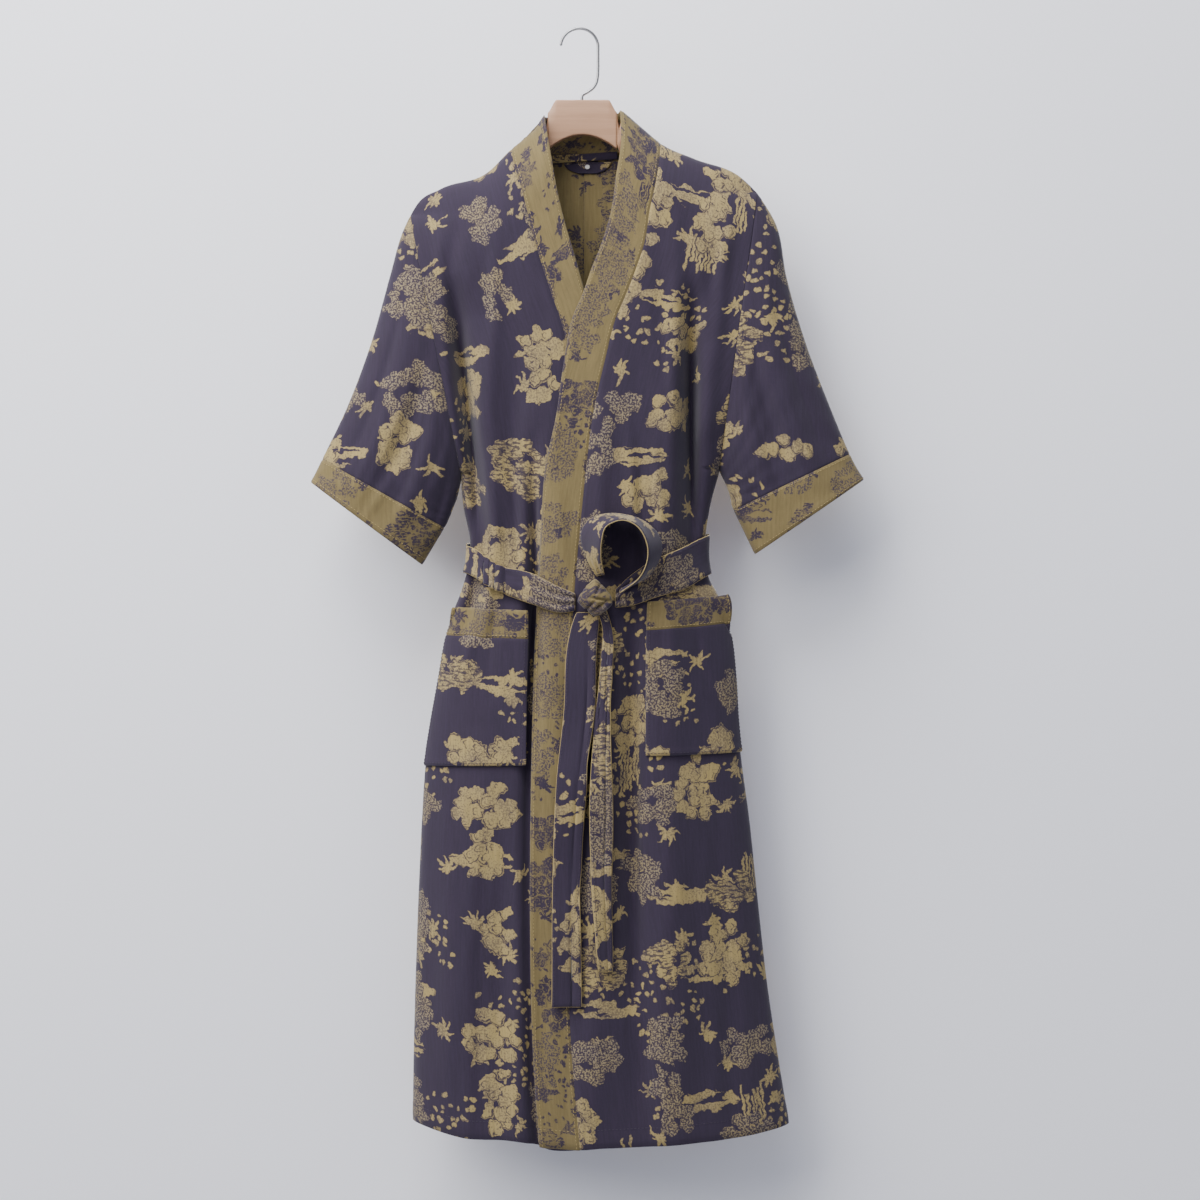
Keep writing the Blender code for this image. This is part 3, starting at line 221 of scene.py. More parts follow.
NECK_SEAM = -143.0 * MM
NECK_TOP = -101.0 * MM
POCKETS = {
    "right": Table("height inner", [(-662, -59), (-700, -59), (-760, -60), (-843, -60)]),
    "left": Table("height inner", [(-648, 78), (-700, 77), (-760, 77), (-832, 77)]),
}
POCKET_TOP = {"right": (-668 * MM, -664 * MM), "left": (-658 * MM, -649 * MM)}
POCKET_LOW = {"right": (-843 * MM, -845 * MM), "left": (-832 * MM, -829 * MM)}
POCKET_BAND = 32.0 * MM
POCKET_FLARE = {"right": 5 * MM, "left": 13 * MM}   # how far a pocket's outer top corner stands out
BELT_RIGHT = Table("x height half", [
    (-140, -606, 15), (-120, -611, 15), (-95, -628, 14), (-52, -643, 17), (-20, -656, 14),
    (-5, -658, 10)])
BELT_LEFT = Table("x height half", [
    (41, -654, 10), (58, -645, 17), (84, -632, 21), (116, -619, 23), (146, -602, 22)])
BELT_BACK = Table("x height half", [
    (-140, -606, 16), (-70, -612, 20), (5, -614, 21), (80, -608, 21), (150, -600, 21)])
TAIL_LONG = Table("height x half", [  # the tails' tops are tucked up under the knot
    (-670, 10, 13), (-684, 7, 15), (-702, 4, 16), (-781, 0, 17), (-860, -8, 17), (-940, -13, 16),
    (-1018, -14, 16), (-1115, -14, 17)])
TAIL_SHORT = Table("height x half", [
    (-665, 25, 5), (-684, 31, 5), (-745, 30, 7), (-826, 26, 11), (-913, 25, 13), (-980, 25, 11),
    (-1075, 29, 8)])
KNOT_AT = (18 * MM, -654 * MM)
KNOT_SIZE = (19 * MM, 12 * MM, 20 * MM)
BOW = [  # near x, near height, near stand-off, far x, far height, far stand-off
    (28, -627, 19, 20, -628, 5), (25, -609, 34, 8, -608, 5), (26, -587, 42, 2, -582, 5),
    (31, -572, 44, 14, -563, 5), (49, -566, 44, 40, -557, 6), (67, -575, 44, 70, -564, 7),
    (77, -594, 44, 90, -583, 8), (76, -613, 42, 93, -605, 8), (66, -632, 36, 78, -628, 7),
    (46, -648, 21, 48, -642, 9)]
BOW_SEAT = 0.7 * MM         # how far the bow is pressed back, so that it meets the belt
BELT_ENDS = {"right": -5 * MM, "left": 41 * MM}     # x where the belt goes into the knot

# The half-moon patch, the hanging loop and the button at the back neck: x and height
PATCH_WALL = 1.2 * MM
PATCH_AT = (9 * MM, -149 * MM)
PATCH_SIZE = (27 * MM, 13 * MM)
LOOP_WALL = 1.4 * MM
LOOP_ENDS = ((-33 * MM, -146 * MM), (44 * MM, -141 * MM))
LOOP_CLEAR = 1.9 * MM       # how far the loop lies off the patch, and its slack in the middle
LOOP_SLACK = 1.2 * MM
BUTTON_AT = (9 * MM, -154.5 * MM)
BUTTON_RADII = (2.8 * MM, 2.4 * MM)
BUTTON_THICK = 1.2 * MM

# Where each piece is cut from the cloth: one corner of it, in metres across and along
CUT_FROM = {
    "front_right": (3.1, 0.0), "front_left": (0.2, 0.0), "band_right": (1.7, 0.0),
    "band_left": (0.9, 0.0), "back_right": (3.9, 0.0), "back_left": (2.3, 0.0),
    "band_neck": (1.3, 2.0), "sleeve_right": (0.4, 3.2), "sleeve_left": (1.71, 3.62),
    "cuff_right": (1.9, 3.2), "cuff_left": (3.21, 3.62), "pocket_band_right": (0.05, 5.1),
    "pocket_band_left": (0.65, 5.1), "pocket_right": (0.33, 5.3), "pocket_left": (0.93, 5.3),
    "belt_front_right": (0.1, 4.2), "belt_front_left": (1.1, 4.2), "belt_back": (2.2, 4.2),
    "belt_tail_long": (3.1, 4.2), "belt_tail_short": (3.7, 4.2), "belt_bow": (4.6, 0.2),
    "belt_knot": (5.2, 0.0), "neck_patch": (5.0, 5.0), "hang_loop": (5.4, 5.0)}

WIRE = 1.7 * MM             # radius of the hook's wire
HOOK_RADIUS = 21.5 * MM     # of the wire's middle line
HOOK_BEND = [               # x and height of the wire from the hook's end down into the wood
    (21.5, -19.8), (21.5, -38), (21.0, -54), (18.0, -64), (11.0, -70.5), (5.0, -74), (3.0, -77),
    (3.0, -83.5)]
WIRE_SIDES = 20
PLATE_TOP = -80.5 * MM
PLATE_HALF = 6.0 * MM       # half thickness of the plate, and of the arms
ARM_HALF = 5.6 * MM
PLATE_ROUND = 2.2 * MM      # rounding of the upper edges
ARM_ROUND = 7.0 * MM
PLATE_ENDS = (-36.5 * MM, 43.5 * MM)
ARM_ENDS = (-171 * MM, 185 * MM)
PLATE_LOW = -121.0 * MM     # lower edge of the plate in its middle
PLATE_BELLY = 17.0 * MM     # how far that edge sinks towards the ends
PLATE_SLOPE = 14.0 * MM     # how far the upper edge falls at the ends
ARM_TALL = (30 * MM, 17 * MM)   # height of the arms' section at the neck and at the tip
LOW_ROUND = 2.0 * MM        # rounding of the lower edges, and of the arms' ends
END_ROUND = 5.0 * MM
ARM_DROP = 4.0 * MM         # how far the arms fall away at both their ends
WOOD_CLEAR = 4.8 * MM       # from the shoulder line to the wood

STITCH_SIDES = 5            # faces round a stitch
STITCH_PITCH = 1.3          # from one stitch to the next, in stitch lengths

WALL_PLACE = 0.072          # the studio's wall and floor, in metres
FLOOR_HEIGHT = -1.9
CAMERA_X = 0.0236
CAMERA_HEIGHT = -0.6555


class ClothProperties(bpy.types.PropertyGroup):
    dark: bpy.props.FloatVectorProperty(
        name="Dark thread", description="Aubergine ground thread", subtype="COLOR",
        default=(0.0240, 0.0156, 0.0325), min=0, max=1)
    gold: bpy.props.FloatVectorProperty(
        name="Gold thread", description="Thread of the motifs and of the cloth's reverse",
        subtype="COLOR", default=(0.312, 0.234, 0.088), min=0, max=1)
    band: bpy.props.FloatVectorProperty(
        name="Gold ground", description="Gold ground of the bands and cuffs", subtype="COLOR",
        default=(0.158, 0.119, 0.048), min=0, max=1)
    dusk: bpy.props.FloatVectorProperty(
        name="Dusk thread", description="Lighter dark thread of some motifs on the gold ground",
        subtype="COLOR", default=(0.060, 0.045, 0.050), min=0, max=1)
    pale: bpy.props.FloatVectorProperty(
        name="Pale thread", description="Greyer gold of some motifs", subtype="COLOR",
        default=(0.198, 0.158, 0.106), min=0, max=1)
    head: bpy.props.FloatProperty(
        name="Motif spacing", description="Distance between the large motifs", default=0.092,
        unit="LENGTH")
    sheen: bpy.props.FloatProperty(name="Sheen", description="Soft nap of the cloth", default=0.16)
    slub: bpy.props.FloatProperty(
        name="Slub", description="Strength of the uneven threads", default=0.22)
    stitch: bpy.props.FloatProperty(
        name="Stitch length", description="Length of one topstitch", default=0.0032, unit="LENGTH")
    thread: bpy.props.FloatProperty(
        name="Thread radius", description="Radius of the sewing thread", default=0.00028,
        unit="LENGTH")


class HangerProperties(bpy.types.PropertyGroup):
    light: bpy.props.FloatVectorProperty(
        name="Light wood", description="Wood between the grain lines", subtype="COLOR",
        default=(0.425, 0.245, 0.146), min=0, max=1)
    grain: bpy.props.FloatVectorProperty(
        name="Grain", description="Wood in the grain lines", subtype="COLOR",
        default=(0.345, 0.190, 0.104), min=0, max=1)
    steel: bpy.props.FloatVectorProperty(
        name="Wire", description="Plated steel of the hook", subtype="COLOR",
        default=(0.29, 0.29, 0.29), min=0, max=1)


class StageProperties(bpy.types.PropertyGroup):
    wall: bpy.props.FloatVectorProperty(
        name="Wall", description="Pale wall behind the robe", subtype="COLOR",
        default=(0.945, 0.95, 0.99), min=0, max=1)
    camera: bpy.props.FloatProperty(
        name="Camera distance", description="From the camera to the robe's middle plane",
        default=3.5, unit="LENGTH")
    width: bpy.props.FloatProperty(
        name="Picture width", description="What the picture spans at the robe", default=1.38,
        unit="LENGTH")
    key: bpy.props.FloatProperty(name="Key light", description="Power in watts", default=232.0)
    fill: bpy.props.FloatProperty(name="Fill light", description="Power in watts", default=7.0)
    high: bpy.props.FloatProperty(name="High light", description="Power in watts", default=72.0)


# Surfaces of the robe, as functions of x and height

def smooth_step(t):
    """0 up to 0, 1 from 1 on, and a soft step between."""
    t = np.clip(t, 0.0, 1.0)
    return t * t * (3.0 - 2.0 * t)


def blend(a, b, t):
    return a * (1 - t) + b * t


def shoulder_height(x):
    """Height of the shoulder line, with a low arch where the neck hole would be bridged."""
    x = np.asarray(x, float)
    share = np.clip((x - NECK_RIGHT) / (NECK_LEFT - NECK_RIGHT), 0.0, 1.0)
    base = blend(SHOULDER.at(NECK_RIGHT, "height"), SHOULDER.at(NECK_LEFT, "height"), share)
    arch = base + NECK_RISE * np.sqrt(1 - (2 * share - 1) ** 2)
    return np.where((x > NECK_RIGHT) & (x < NECK_LEFT), arch, SHOULDER.at(x, "height"))


def arm_share(side, height):
    """How far up the armhole a height is, from the underarm (0) to the shoulder's tip (1)."""
    low = UNDERARM[side][1]
    return np.clip((height - low) / (TIP[side][1] - low), 0.0, 1.0)


def side_x(side, height):
    """The side seam below the underarm, and the armhole above it."""
    share = arm_share(side, height)
    arm = blend(UNDERARM[side][0], TIP[side][0], share)
    return np.where(height <= UNDERARM[side][1], SIDES.at(height, side), arm)


def fold_rise(folds, x, height):
    """How far a list of folds lifts the cloth; some rows also have a bow."""
    total = np.zeros(np.broadcast(x, height).shape)
    for row in folds:
        x_top, x_bottom, top, bottom, width, rise = (value * MM for value in row[:6])
        bow = row[6] * MM if len(row) > 6 else 0.0
        along = np.clip((top - height) / (top - bottom), 0.0, 1.0)
        centre = blend(x_top, x_bottom, along) + bow * np.sin(math.pi * along)
        swell = np.sin(math.pi * along) ** 0.8
        total += rise * swell * np.exp(-((x - centre) / width) ** 2)
    return total


def ripple(x, height, face):
    """The cloth's slight unevenness between its creases."""
    turn = 1.7 if face == "front" else 0.4
    slow = np.sin(x * 61 + 2.1 * np.sin(height * 9 + turn) + turn)
    slow = slow * np.sin(height * 23 + 1.3 * np.sin(x * 31) + 2 * turn)
    quick = np.sin(x * 170 + 3.0 * np.sin(height * 17 + turn)) * np.sin(height * 48 + 5 * np.sin(x * 24))
    return (0.55 * slow + 0.28 * quick) * MM


def body_depth(x, height, face, bridged=False, creased=1.0):
    """Distance of the cloth from the middle plane; bridged is for what is stretched over the folds."""
    right = x < MIDDLE
    edge_x = np.where(right, side_x("right", height), side_x("left", height))
    reach = abs(edge_x - MIDDLE)
    across = np.minimum(abs(x - MIDDLE) / reach, 1.0)
    lens = np.sqrt(1 - across ** SIDE_POWER)
    below = np.maximum(shoulder_height(x) - height, 0.0)
    fall = np.sqrt(1 - (1 - np.minimum(below / SHOULDER_ROUND, 1.0)) ** 2)
    full = DEPTH.at(height, face) * fall
    share = np.where(right, arm_share("right", height), arm_share("left", height))
    edge = 2 * ARM_DEPTH * np.sqrt(share * (1 - share))
    edge = edge * blend(smooth_step(share / 0.16), 1.0, smooth_step((across - 0.88) / 0.12))
    calm = smooth_step((reach - abs(x - MIDDLE)) / FADE) * smooth_step(below / SHOULDER_ROUND)
    folds = FRONT_FOLDS if face == "front" else BACK_FOLDS
    creases = FRONT_CREASES if face == "front" else BACK_CREASES
    if bridged:
        shifts = [(step, drop) for step in (-1, -0.5, 0, 0.5, 1) for drop in (-1, 0, 1)]
        rise = np.maximum.reduce([
            fold_rise(folds, x + step * BRIDGE, height + drop * BRIDGE)
            + fold_rise(creases, x + step * BRIDGE, height + drop * BRIDGE) * CREASED * creased
            for step, drop in shifts])
        rise = np.maximum(rise, 0.0) + 0.5 * MM * creased
    else:
        rise = fold_rise(folds, x, height)
        fine = fold_rise(creases, x, height) * CREASED + ripple(x, height, face)
        rise = rise + fine * creased
    return edge * (1 - lens) ** ARM_REACH + full * lens + calm * rise


def front_y(x, height, over=False, bridged=False, creased=1.0):
    """The right front, or the left one, which lies over it."""
    lap = LAP * smooth_step((LAP_END - x) / LAP_FADE) * smooth_step(
        (shoulder_height(x) - height) / LAP_START)
    return -body_depth(x, height, "front", bridged, creased) - (lap if over else 0.0)


def back_y(x, height, bridged=False, creased=1.0):
    return body_depth(x, height, "back", bridged, creased)


def lap_trough(x, height):
    """How far the right front sinks beside the left one's edge, where a dark gap shows."""
    away = (x - LEFT_FRONT.at(height, "edge")) / MM + 3.5
    return TROUGH * np.exp(-(away / 6.0) ** 2) * smooth_step((TROUGH_TOP - height) / TROUGH_FADE)


def outer_front_y(x, height, bridged=False, creased=1.0):
    """The outermost front layer, with the left front's lap where it covers the right one."""
    ramp = smooth_step((x - LEFT_FRONT.at(height, "edge")) / LAP_RAMP + 1)
    return blend(front_y(x, height, False, bridged, creased),
                 front_y(x, height, True, bridged, creased), ramp)


# Fine cloth as closed walls on grids of points

def unit(vectors):
    return vectors / np.maximum(np.linalg.norm(vectors, axis=-1, keepdims=True), 1e-12)


def grid_normals(grid, facing, closed=False):
    """Unit normals of a grid of points; facing is a vector near the middle point's normal."""
    across = np.gradient(grid, axis=1)
    if closed:
        across = (np.roll(grid, -1, axis=1) - np.roll(grid, 1, axis=1)) / 2
    normals = unit(np.cross(across, np.gradient(grid, axis=0)))
    middle = normals[grid.shape[0] // 2, grid.shape[1] // (4 if closed else 2)]
    return -normals if middle @ np.array(facing, float) < 0 else normals


def lengths(grid, axis):
    """Distance along a grid's rows (axis 1) or columns (axis 0) from their first point."""
    steps = np.linalg.norm(np.diff(grid, axis=axis), axis=2)
    start = np.zeros((1, grid.shape[1]) if axis == 0 else (grid.shape[0], 1))
    return np.concatenate([start, np.cumsum(steps, axis=axis)], axis=axis)


def cut_places(grid, corner, closed=False):
    """Places on the flat cloth: the lengths across and along the grid, from a corner."""
    if closed:
        grid = np.concatenate([grid, grid[:, :1]], axis=1)
    across = lengths(grid, 1)
    along = lengths(grid, 0).mean(axis=1, keepdims=True) + np.zeros_like(across)
    return np.stack([across + corner[0], along + corner[1]], axis=2)


def wall_thickness(grid, wall, hem_rows=(), hem_columns=(), closed=False):
    """Half the wall at each point: thicker in turned hems, thinner at its very edge."""
    half = np.full(grid.shape[:2], wall / 2)
    down = lengths(grid, 0)
    over = lengths(grid, 1)
    hems = [(abs(down - down[row]), width) for row, width in hem_rows]
    hems += [(abs(over - over[:, column:column + 1 or None]), width) for column, width in hem_columns]
    for distance, width in hems:
        half += HEM_RAISE * (1 - smooth_step((distance - width) / HEM_SOFT))
        half -= HEM_GROOVE * np.exp(-((distance - width + HEM_SOFT) / (1.0 * MM)) ** 2)
    half[0] *= RIM_SHARE
    half[-1] *= RIM_SHARE
    if not closed:
        half[:, 0] *= RIM_SHARE
        half[:, -1] *= RIM_SHARE
    return half


def index_grid(rows, columns, closed=False):
    """Numbers of the points of a grid, with its first column again at the end of a closed one."""
    index = np.arange(rows * columns).reshape(rows, columns)
    return np.concatenate([index, index[:, :1]], axis=1) if closed else index


def quads(index):
    """The four corners of each face between the rows and columns of a grid of numbers."""
    return np.stack([index[:-1, :-1], index[:-1, 1:], index[1:, 1:], index[1:, :-1]],
                    axis=2).reshape(-1, 4)


def write_cut(mesh, places, corners):
    """Keeps the places on the flat cloth as the mesh's UV map."""
    layer = mesh.uv_layers.new(name="Cut")
    spread = places.reshape(-1, 2)[corners.reshape(-1)]
    layer.uv.foreach_set("vector", spread.astype(np.float32).ravel())


def finish_mesh(builder, mesh):
    """Writes an edited mesh back with all its faces turned outward."""
    bmesh.ops.recalc_face_normals(builder, faces=builder.faces)
    builder.to_mesh(mesh)
    builder.free()


def add_object(name, data):
    made = bpy.data.objects.new(name, data)
    bpy.context.collection.objects.link(made)
    return made


def border(rows, columns, closed):
    """Index loops round a grid, each with the indices just inside it."""
    index = index_grid(rows, columns)
    if closed:
        return [(index[0], index[1]), (index[-1], index[-2])]
    edge = np.concatenate([index[0, :-1], index[:-1, -1], index[-1, :0:-1], index[:0:-1, 0]])
    near = np.concatenate([index[1, :-1], index[:-1, -2], index[-2, :0:-1], index[:0:-1, 1]])
    return [(edge, near)]


def cloth_wall(name, grid, normals, places, half, outer, inner, rim=None, closed=False):
    """A closed wall on both sides of a grid, with a rounded rim, its cut as UV map."""
    rows, columns = grid.shape[:2]
    flat = grid.reshape(-1, 3)
    offset = (normals * half[:, :, None]).reshape(-1, 3)
    points = [flat + offset, flat - offset]
    count = rows * columns
    index = index_grid(rows, columns, closed)
    place_index = index_grid(*places.shape[:2])
    faces = [quads(index), quads(index)[:, ::-1] + count]
    corners = [quads(place_index), quads(place_index)[:, ::-1]]
    slots = [np.zeros(len(faces[0]), int), np.ones(len(faces[0]), int)]
    start = 2 * count
    for edge, near in border(rows, columns, closed):
        outward = unit(flat[edge] - flat[near])
        points.append(flat[edge] + outward * half.reshape(-1)[edge][:, None])
        rim_index = start + np.arange(len(edge))
        start += len(edge)
        after = np.roll(np.arange(len(edge)), -1)
        for a, b in ((edge, rim_index), (rim_index, edge + count)):
            faces.append(np.stack([a, a[after], b[after], b], axis=1))
            known = place_index[edge // columns, edge % columns]
            corners.append(np.stack([known, known[after], known[after], known], axis=1))
            slots.append(np.full(len(edge), 2 if rim else 0))
    mesh = bpy.data.meshes.new(name)
    mesh.from_pydata(np.concatenate(points), [], np.concatenate(faces))
    write_cut(mesh, places, np.concatenate(corners))
    for material in (outer, inner, rim or outer):
        mesh.materials.append(material)
    mesh.polygons.foreach_set("material_index", np.concatenate(slots).astype(np.int32))
    builder = bmesh.new()
    builder.from_mesh(mesh)
    finish_mesh(builder, mesh)
    mesh.shade_smooth()
    return add_object(name, mesh)


def place_piece(made, slot, *nodes):
    """Puts a finished piece in the place of its CAD nodes."""
    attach(made, "root")
    if nodes:
        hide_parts(*nodes)
    return made


def declare_cut(grid, closed=False):
    """Works out the flat cut of what shows: its greatest width and length, and its area, which are not
    kept.
    """
    if closed:
        grid = np.concatenate([grid, grid[:, :1]], axis=1)
    width = max(float(lengths(grid, 1)[:, -1].max()), 0.0101)
    length = max(float(lengths(grid, 0)[-1].max()), 0.0101)
    one = np.cross(grid[1:, :-1] - grid[:-1, :-1], grid[:-1, 1:] - grid[:-1, :-1])
    two = np.cross(grid[1:, :-1] - grid[1:, 1:], grid[:-1, 1:] - grid[1:, 1:])
    area = float(np.linalg.norm(one, axis=2).sum() + np.linalg.norm(two, axis=2).sum()) / 2
    area = min(max(area, 0.31 * width * length), width * length)


# Sewing

def walk(points, step):
    """Points at equal steps along a line of points, with the directions there."""
    places = np.concatenate([[0], np.cumsum(np.linalg.norm(np.diff(points, axis=0), axis=1))])
    count = max(int(places[-1] / step), 2)
    at = (np.arange(count) + 0.5) * places[-1] / count

    def read(here):
        return np.stack([np.interp(here, places, points[:, k]) for k in range(3)], axis=1)

    return read(at), unit(read(at + step * 0.3) - read(at - step * 0.3))


def sew(name, lines, material, slot):
    """One mesh of small stitches along lines given as (points, outward normals)."""
    cloth = bpy.context.scene.robe_cloth
    length, radius = cloth.stitch, cloth.thread
    points, faces = [], []
    for line, normals in lines:
        centres, along = walk(line, length * STITCH_PITCH)
        nearest = np.linalg.norm(line[None] - centres[:, None], axis=2).argmin(axis=1)
        out = unit(normals[nearest])
        side = unit(np.cross(out, along))
        for c, t, n, s in zip(centres, along, out, side):
            base = len(points)
            points.append(c - t * length * 0.5 - n * radius * 0.6)
            for place in (-0.30, 0.30):
                for k in range(STITCH_SIDES):
                    turn = 2 * math.pi * k / STITCH_SIDES
                    points.append(c + t * length * place + n * radius * (math.cos(turn) + 0.35)
                                  + s * radius * 1.15 * math.sin(turn))
            points.append(c + t * length * 0.5 - n * radius * 0.6)
            near, far = base + 1, base + 1 + STITCH_SIDES
            for k in range(STITCH_SIDES):
                m = (k + 1) % STITCH_SIDES
                faces.append((base, near + m, near + k))
                faces.append((near + k, near + m, far + m, far + k))
                faces.append((far + k, far + m, far + STITCH_SIDES))
    mesh = bpy.data.meshes.new(name)
    mesh.from_pydata([tuple(p) for p in points], [], faces)
    mesh.materials.append(material)
    mesh.shade_smooth()
    return place_piece(add_object(name, mesh), slot)


def line_at(grid, normals, half, row=None, column=None, inside=0.0):
    """A line on a wall's outer face, at a distance inside one of its edge rows or columns."""
    outer = grid + normals * half[:, :, None]
    if row is not None:
        place = lengths(grid, 0)
        distance = abs(place - place[row]).mean(axis=1)
        at = int(np.argmin(abs(distance - inside)))
        return outer[at], normals[at]
    place = lengths(grid, 1)
    distance = abs(place - place[:, column:column + 1 or None])
    at = np.argmin(abs(distance - inside), axis=1)
    rows = np.arange(len(grid))
    return outer[rows, at], normals[rows, at]


# Shader helpers

class Value:
    """A number or colour that runs between shader nodes, written like arithmetic."""

    def __init__(self, tree, socket):
        self.tree = tree
        self.socket = socket

    def math(self, operation, *others):
        node = self.tree.nodes.new("ShaderNodeMath")
        node.operation = operation
        for socket, value in zip(node.inputs, (self, *others)):
            feed(self.tree, socket, value)
        return Value(self.tree, node.outputs[0])

    def __add__(self, other):
        return self.math("ADD", other)

    def __sub__(self, other):
        return self.math("SUBTRACT", other)

    def __mul__(self, other):
        return self.math("MULTIPLY", other)

    def __truediv__(self, other):
        return self.math("DIVIDE", other)

    def __lt__(self, other):
        return self.math("LESS_THAN", other)

    def __gt__(self, other):
        return self.math("GREATER_THAN", other)

    def below(self, other, soft):
        """1 well below another value, 0 above it, with a soft step between."""
        return ((self * -1 + other) / soft + 0.5).math("MAXIMUM", 0.0).math("MINIMUM", 1.0)


def feed(tree, socket, value):
    if isinstance(value, Value):
        tree.links.new(value.socket, socket)
    else:
        socket.default_value = value


def add_node(tree, kind, inputs=None, **settings):
    node = tree.nodes.new(kind)
    for name, value in settings.items():
        setattr(node, name, value)
    for name, value in (inputs or {}).items():
        feed(tree, node.inputs[name], value)
    return node


def out(node, name=0):
    return Value(node.id_data, node.outputs[name])


def mix_colour(tree, factor, a, b, kind="MIX"):
    node = add_node(tree, "ShaderNodeMix", data_type="RGBA", blend_type=kind)
    for socket, value in ((node.inputs[0], factor), (node.inputs[6], a), (node.inputs[7], b)):
        feed(tree, socket, value)
    return Value(tree, node.outputs[2])


def new_group(name, inputs, outputs):
    """An empty node group with named sockets; returns it with its inputs and its outputs' node."""
    group = bpy.data.node_groups.new(name, "ShaderNodeTree")
    for label, kind, value in inputs:
        socket = group.interface.new_socket(label, in_out="INPUT", socket_type="NodeSocket" + kind)
        if value is not None:
            socket.default_value = value
    for label, kind in outputs:
        group.interface.new_socket(label, in_out="OUTPUT", socket_type="NodeSocket" + kind)
    start = group.nodes.new("NodeGroupInput")
    end = group.nodes.new("NodeGroupOutput")
    return group, {label: Value(group, start.outputs[label]) for label, kind, value in inputs}, end


def scale_vector(tree, vector, factors, operation="MULTIPLY"):
    node = add_node(tree, "ShaderNodeVectorMath", {0: vector}, operation=operation)
    node.inputs[1].default_value = factors
    return out(node)


def noise(tree, vector, scale, detail=1.0, dimensions="2D", output=0):
    node = add_node(tree, "ShaderNodeTexNoise", {"Vector": vector, "Scale": scale, "Detail": detail},
                    noise_dimensions=dimensions)
    return out(node, output)


def shaded(tree, colour, shade):
    """A colour made lighter or darker by a number."""
    grey = add_node(tree, "ShaderNodeCombineColor", {0: shade, 1: shade, 2: shade})
    return mix_colour(tree, 1.0, colour, out(grey), "MULTIPLY")


def chance(tree, *values):
    """A random number from 0 to 1 for each set of up to three values."""
    joined = add_node(tree, "ShaderNodeCombineXYZ", dict(enumerate(values)))
    return out(add_node(tree, "ShaderNodeTexWhiteNoise", {"Vector": out(joined)},
                        noise_dimensions="3D"))


def cells(tree, vector, spacing, scatter, shift):
    """Scattered centres: the nearest one's place, the way from it in x and y, and its chances."""
    moved = scale_vector(tree, vector, (shift, shift * 0.37, 0), "ADD")
    found = add_node(tree, "ShaderNodeTexVoronoi", {"Vector": moved, "Randomness": scatter},
                     voronoi_dimensions="2D")
    feed(tree, found.inputs["Scale"], spacing.math("POWER", -1.0))
    local = add_node(tree, "ShaderNodeVectorMath", {0: moved, 1: out(found, "Position")},
                     operation="SUBTRACT")
    parts = add_node(tree, "ShaderNodeSeparateXYZ", {0: out(local)})
    parted = add_node(tree, "ShaderNodeSeparateColor", {0: out(found, "Color")})
    place = scale_vector(tree, out(found, "Position"), (-shift, -shift * 0.37, 0), "ADD")
    return (place, out(parts, "X"), out(parts, "Y"),
            [out(parted, label) for label in ("Red", "Green", "Blue")])


def lobed_clusters(tree, weave, spacing, cover, size, shift):
    """Billowing heads made of many round lobes; returns their mask, outlines and chances."""
    centre, x, y, own = cells(tree, weave, spacing * size, 0.95, shift * 3)
    _, far_x, far_y, chances = cells(tree, centre, spacing, 0.55, shift)
    stretch = chances[1] * 0.7 + 0.70
    reach = spacing * cover * (chances[2] * 0.12 + 0.255)
    away = ((far_x * stretch) * (far_x * stretch) + (far_y / stretch) * (far_y / stretch)).math("SQRT")
    inside = away < reach
    distance = (x * x + y * y).math("SQRT")
    radius = spacing * size * (own[0] * 0.12 + 0.60)
    lobe = distance.below(radius, 0.0010) * inside
    ring = (distance - radius * 0.84).math("ABSOLUTE").below(0.0007, 0.0006)
    vein = (distance - radius * 0.45).math("ABSOLUTE").below(0.0005, 0.0006) * (own[1] > 0.45)
    outline = (ring * (y < 0.0012)).math("MAXIMUM", vein * (x > 0.0))
    return lobe, outline * inside, chances


def reeds(tree, weave, spacing, shift):
    """Bundles of upright stems of uneven length."""
    _, x, y, chances = cells(tree, weave, spacing, 0.7, shift)
    stem = spacing * 0.034
    number = (x / stem).math("FLOOR")
    height = spacing * (chance(tree, number, chances[0], 1.0) * 0.14 + 0.10)
    depth = spacing * (chance(tree, number, chances[0], 2.0) * 0.10 + 0.08)
    across = ((x / stem).math("FRACT") - 0.5).math("ABSOLUTE").below(0.33, 0.1)
    wide = (number + 0.5).math("ABSOLUTE") < chances[1] * 2.5 + 1.5
    return across * wide * y.below(height, 0.001) * (y * -1).below(depth, 0.001) * (chances[2] > 0.55)


def sprigs(tree, weave, spacing, shift, share):
    """Small branching twigs with uneven arms."""
    _, x, y, chances = cells(tree, weave, spacing, 0.85, shift)
    distance = (x * x + y * y).math("SQRT")
    angle = y.math("ARCTAN2", x) + chances[0] * 6.283 + distance * 28
    step = 2 * math.pi / 9
    number = (angle / step).math("FLOOR")
    local = angle - number * step - step / 2
    arm = spacing * (chance(tree, number, chances[1], 3.0) * 0.24 + 0.06)
    along = (distance / arm).math("MINIMUM", 1.0)
    half = (along * math.pi).math("SINE") * 0.0011 + 0.0008
    twig = (local.math("SINE") * distance).math("ABSOLUTE").below(half, 0.0007)
    return twig * distance.below(arm, 0.001) * (chances[2] < share)


def blossoms(tree, weave, spacing, shift):
    """Small scattered blossoms, here and there on the cloth."""
    place, x, y, chances = cells(tree, weave, spacing, 0.9, shift)
    distance = (x * x + y * y).math("SQRT")
    bloom = distance.below(spacing * (chances[0] * 0.14 + 0.18), 0.0010)
    where = noise(tree, place, 8.0) > 0.585
    return bloom * where * (chances[1] > 0.25)


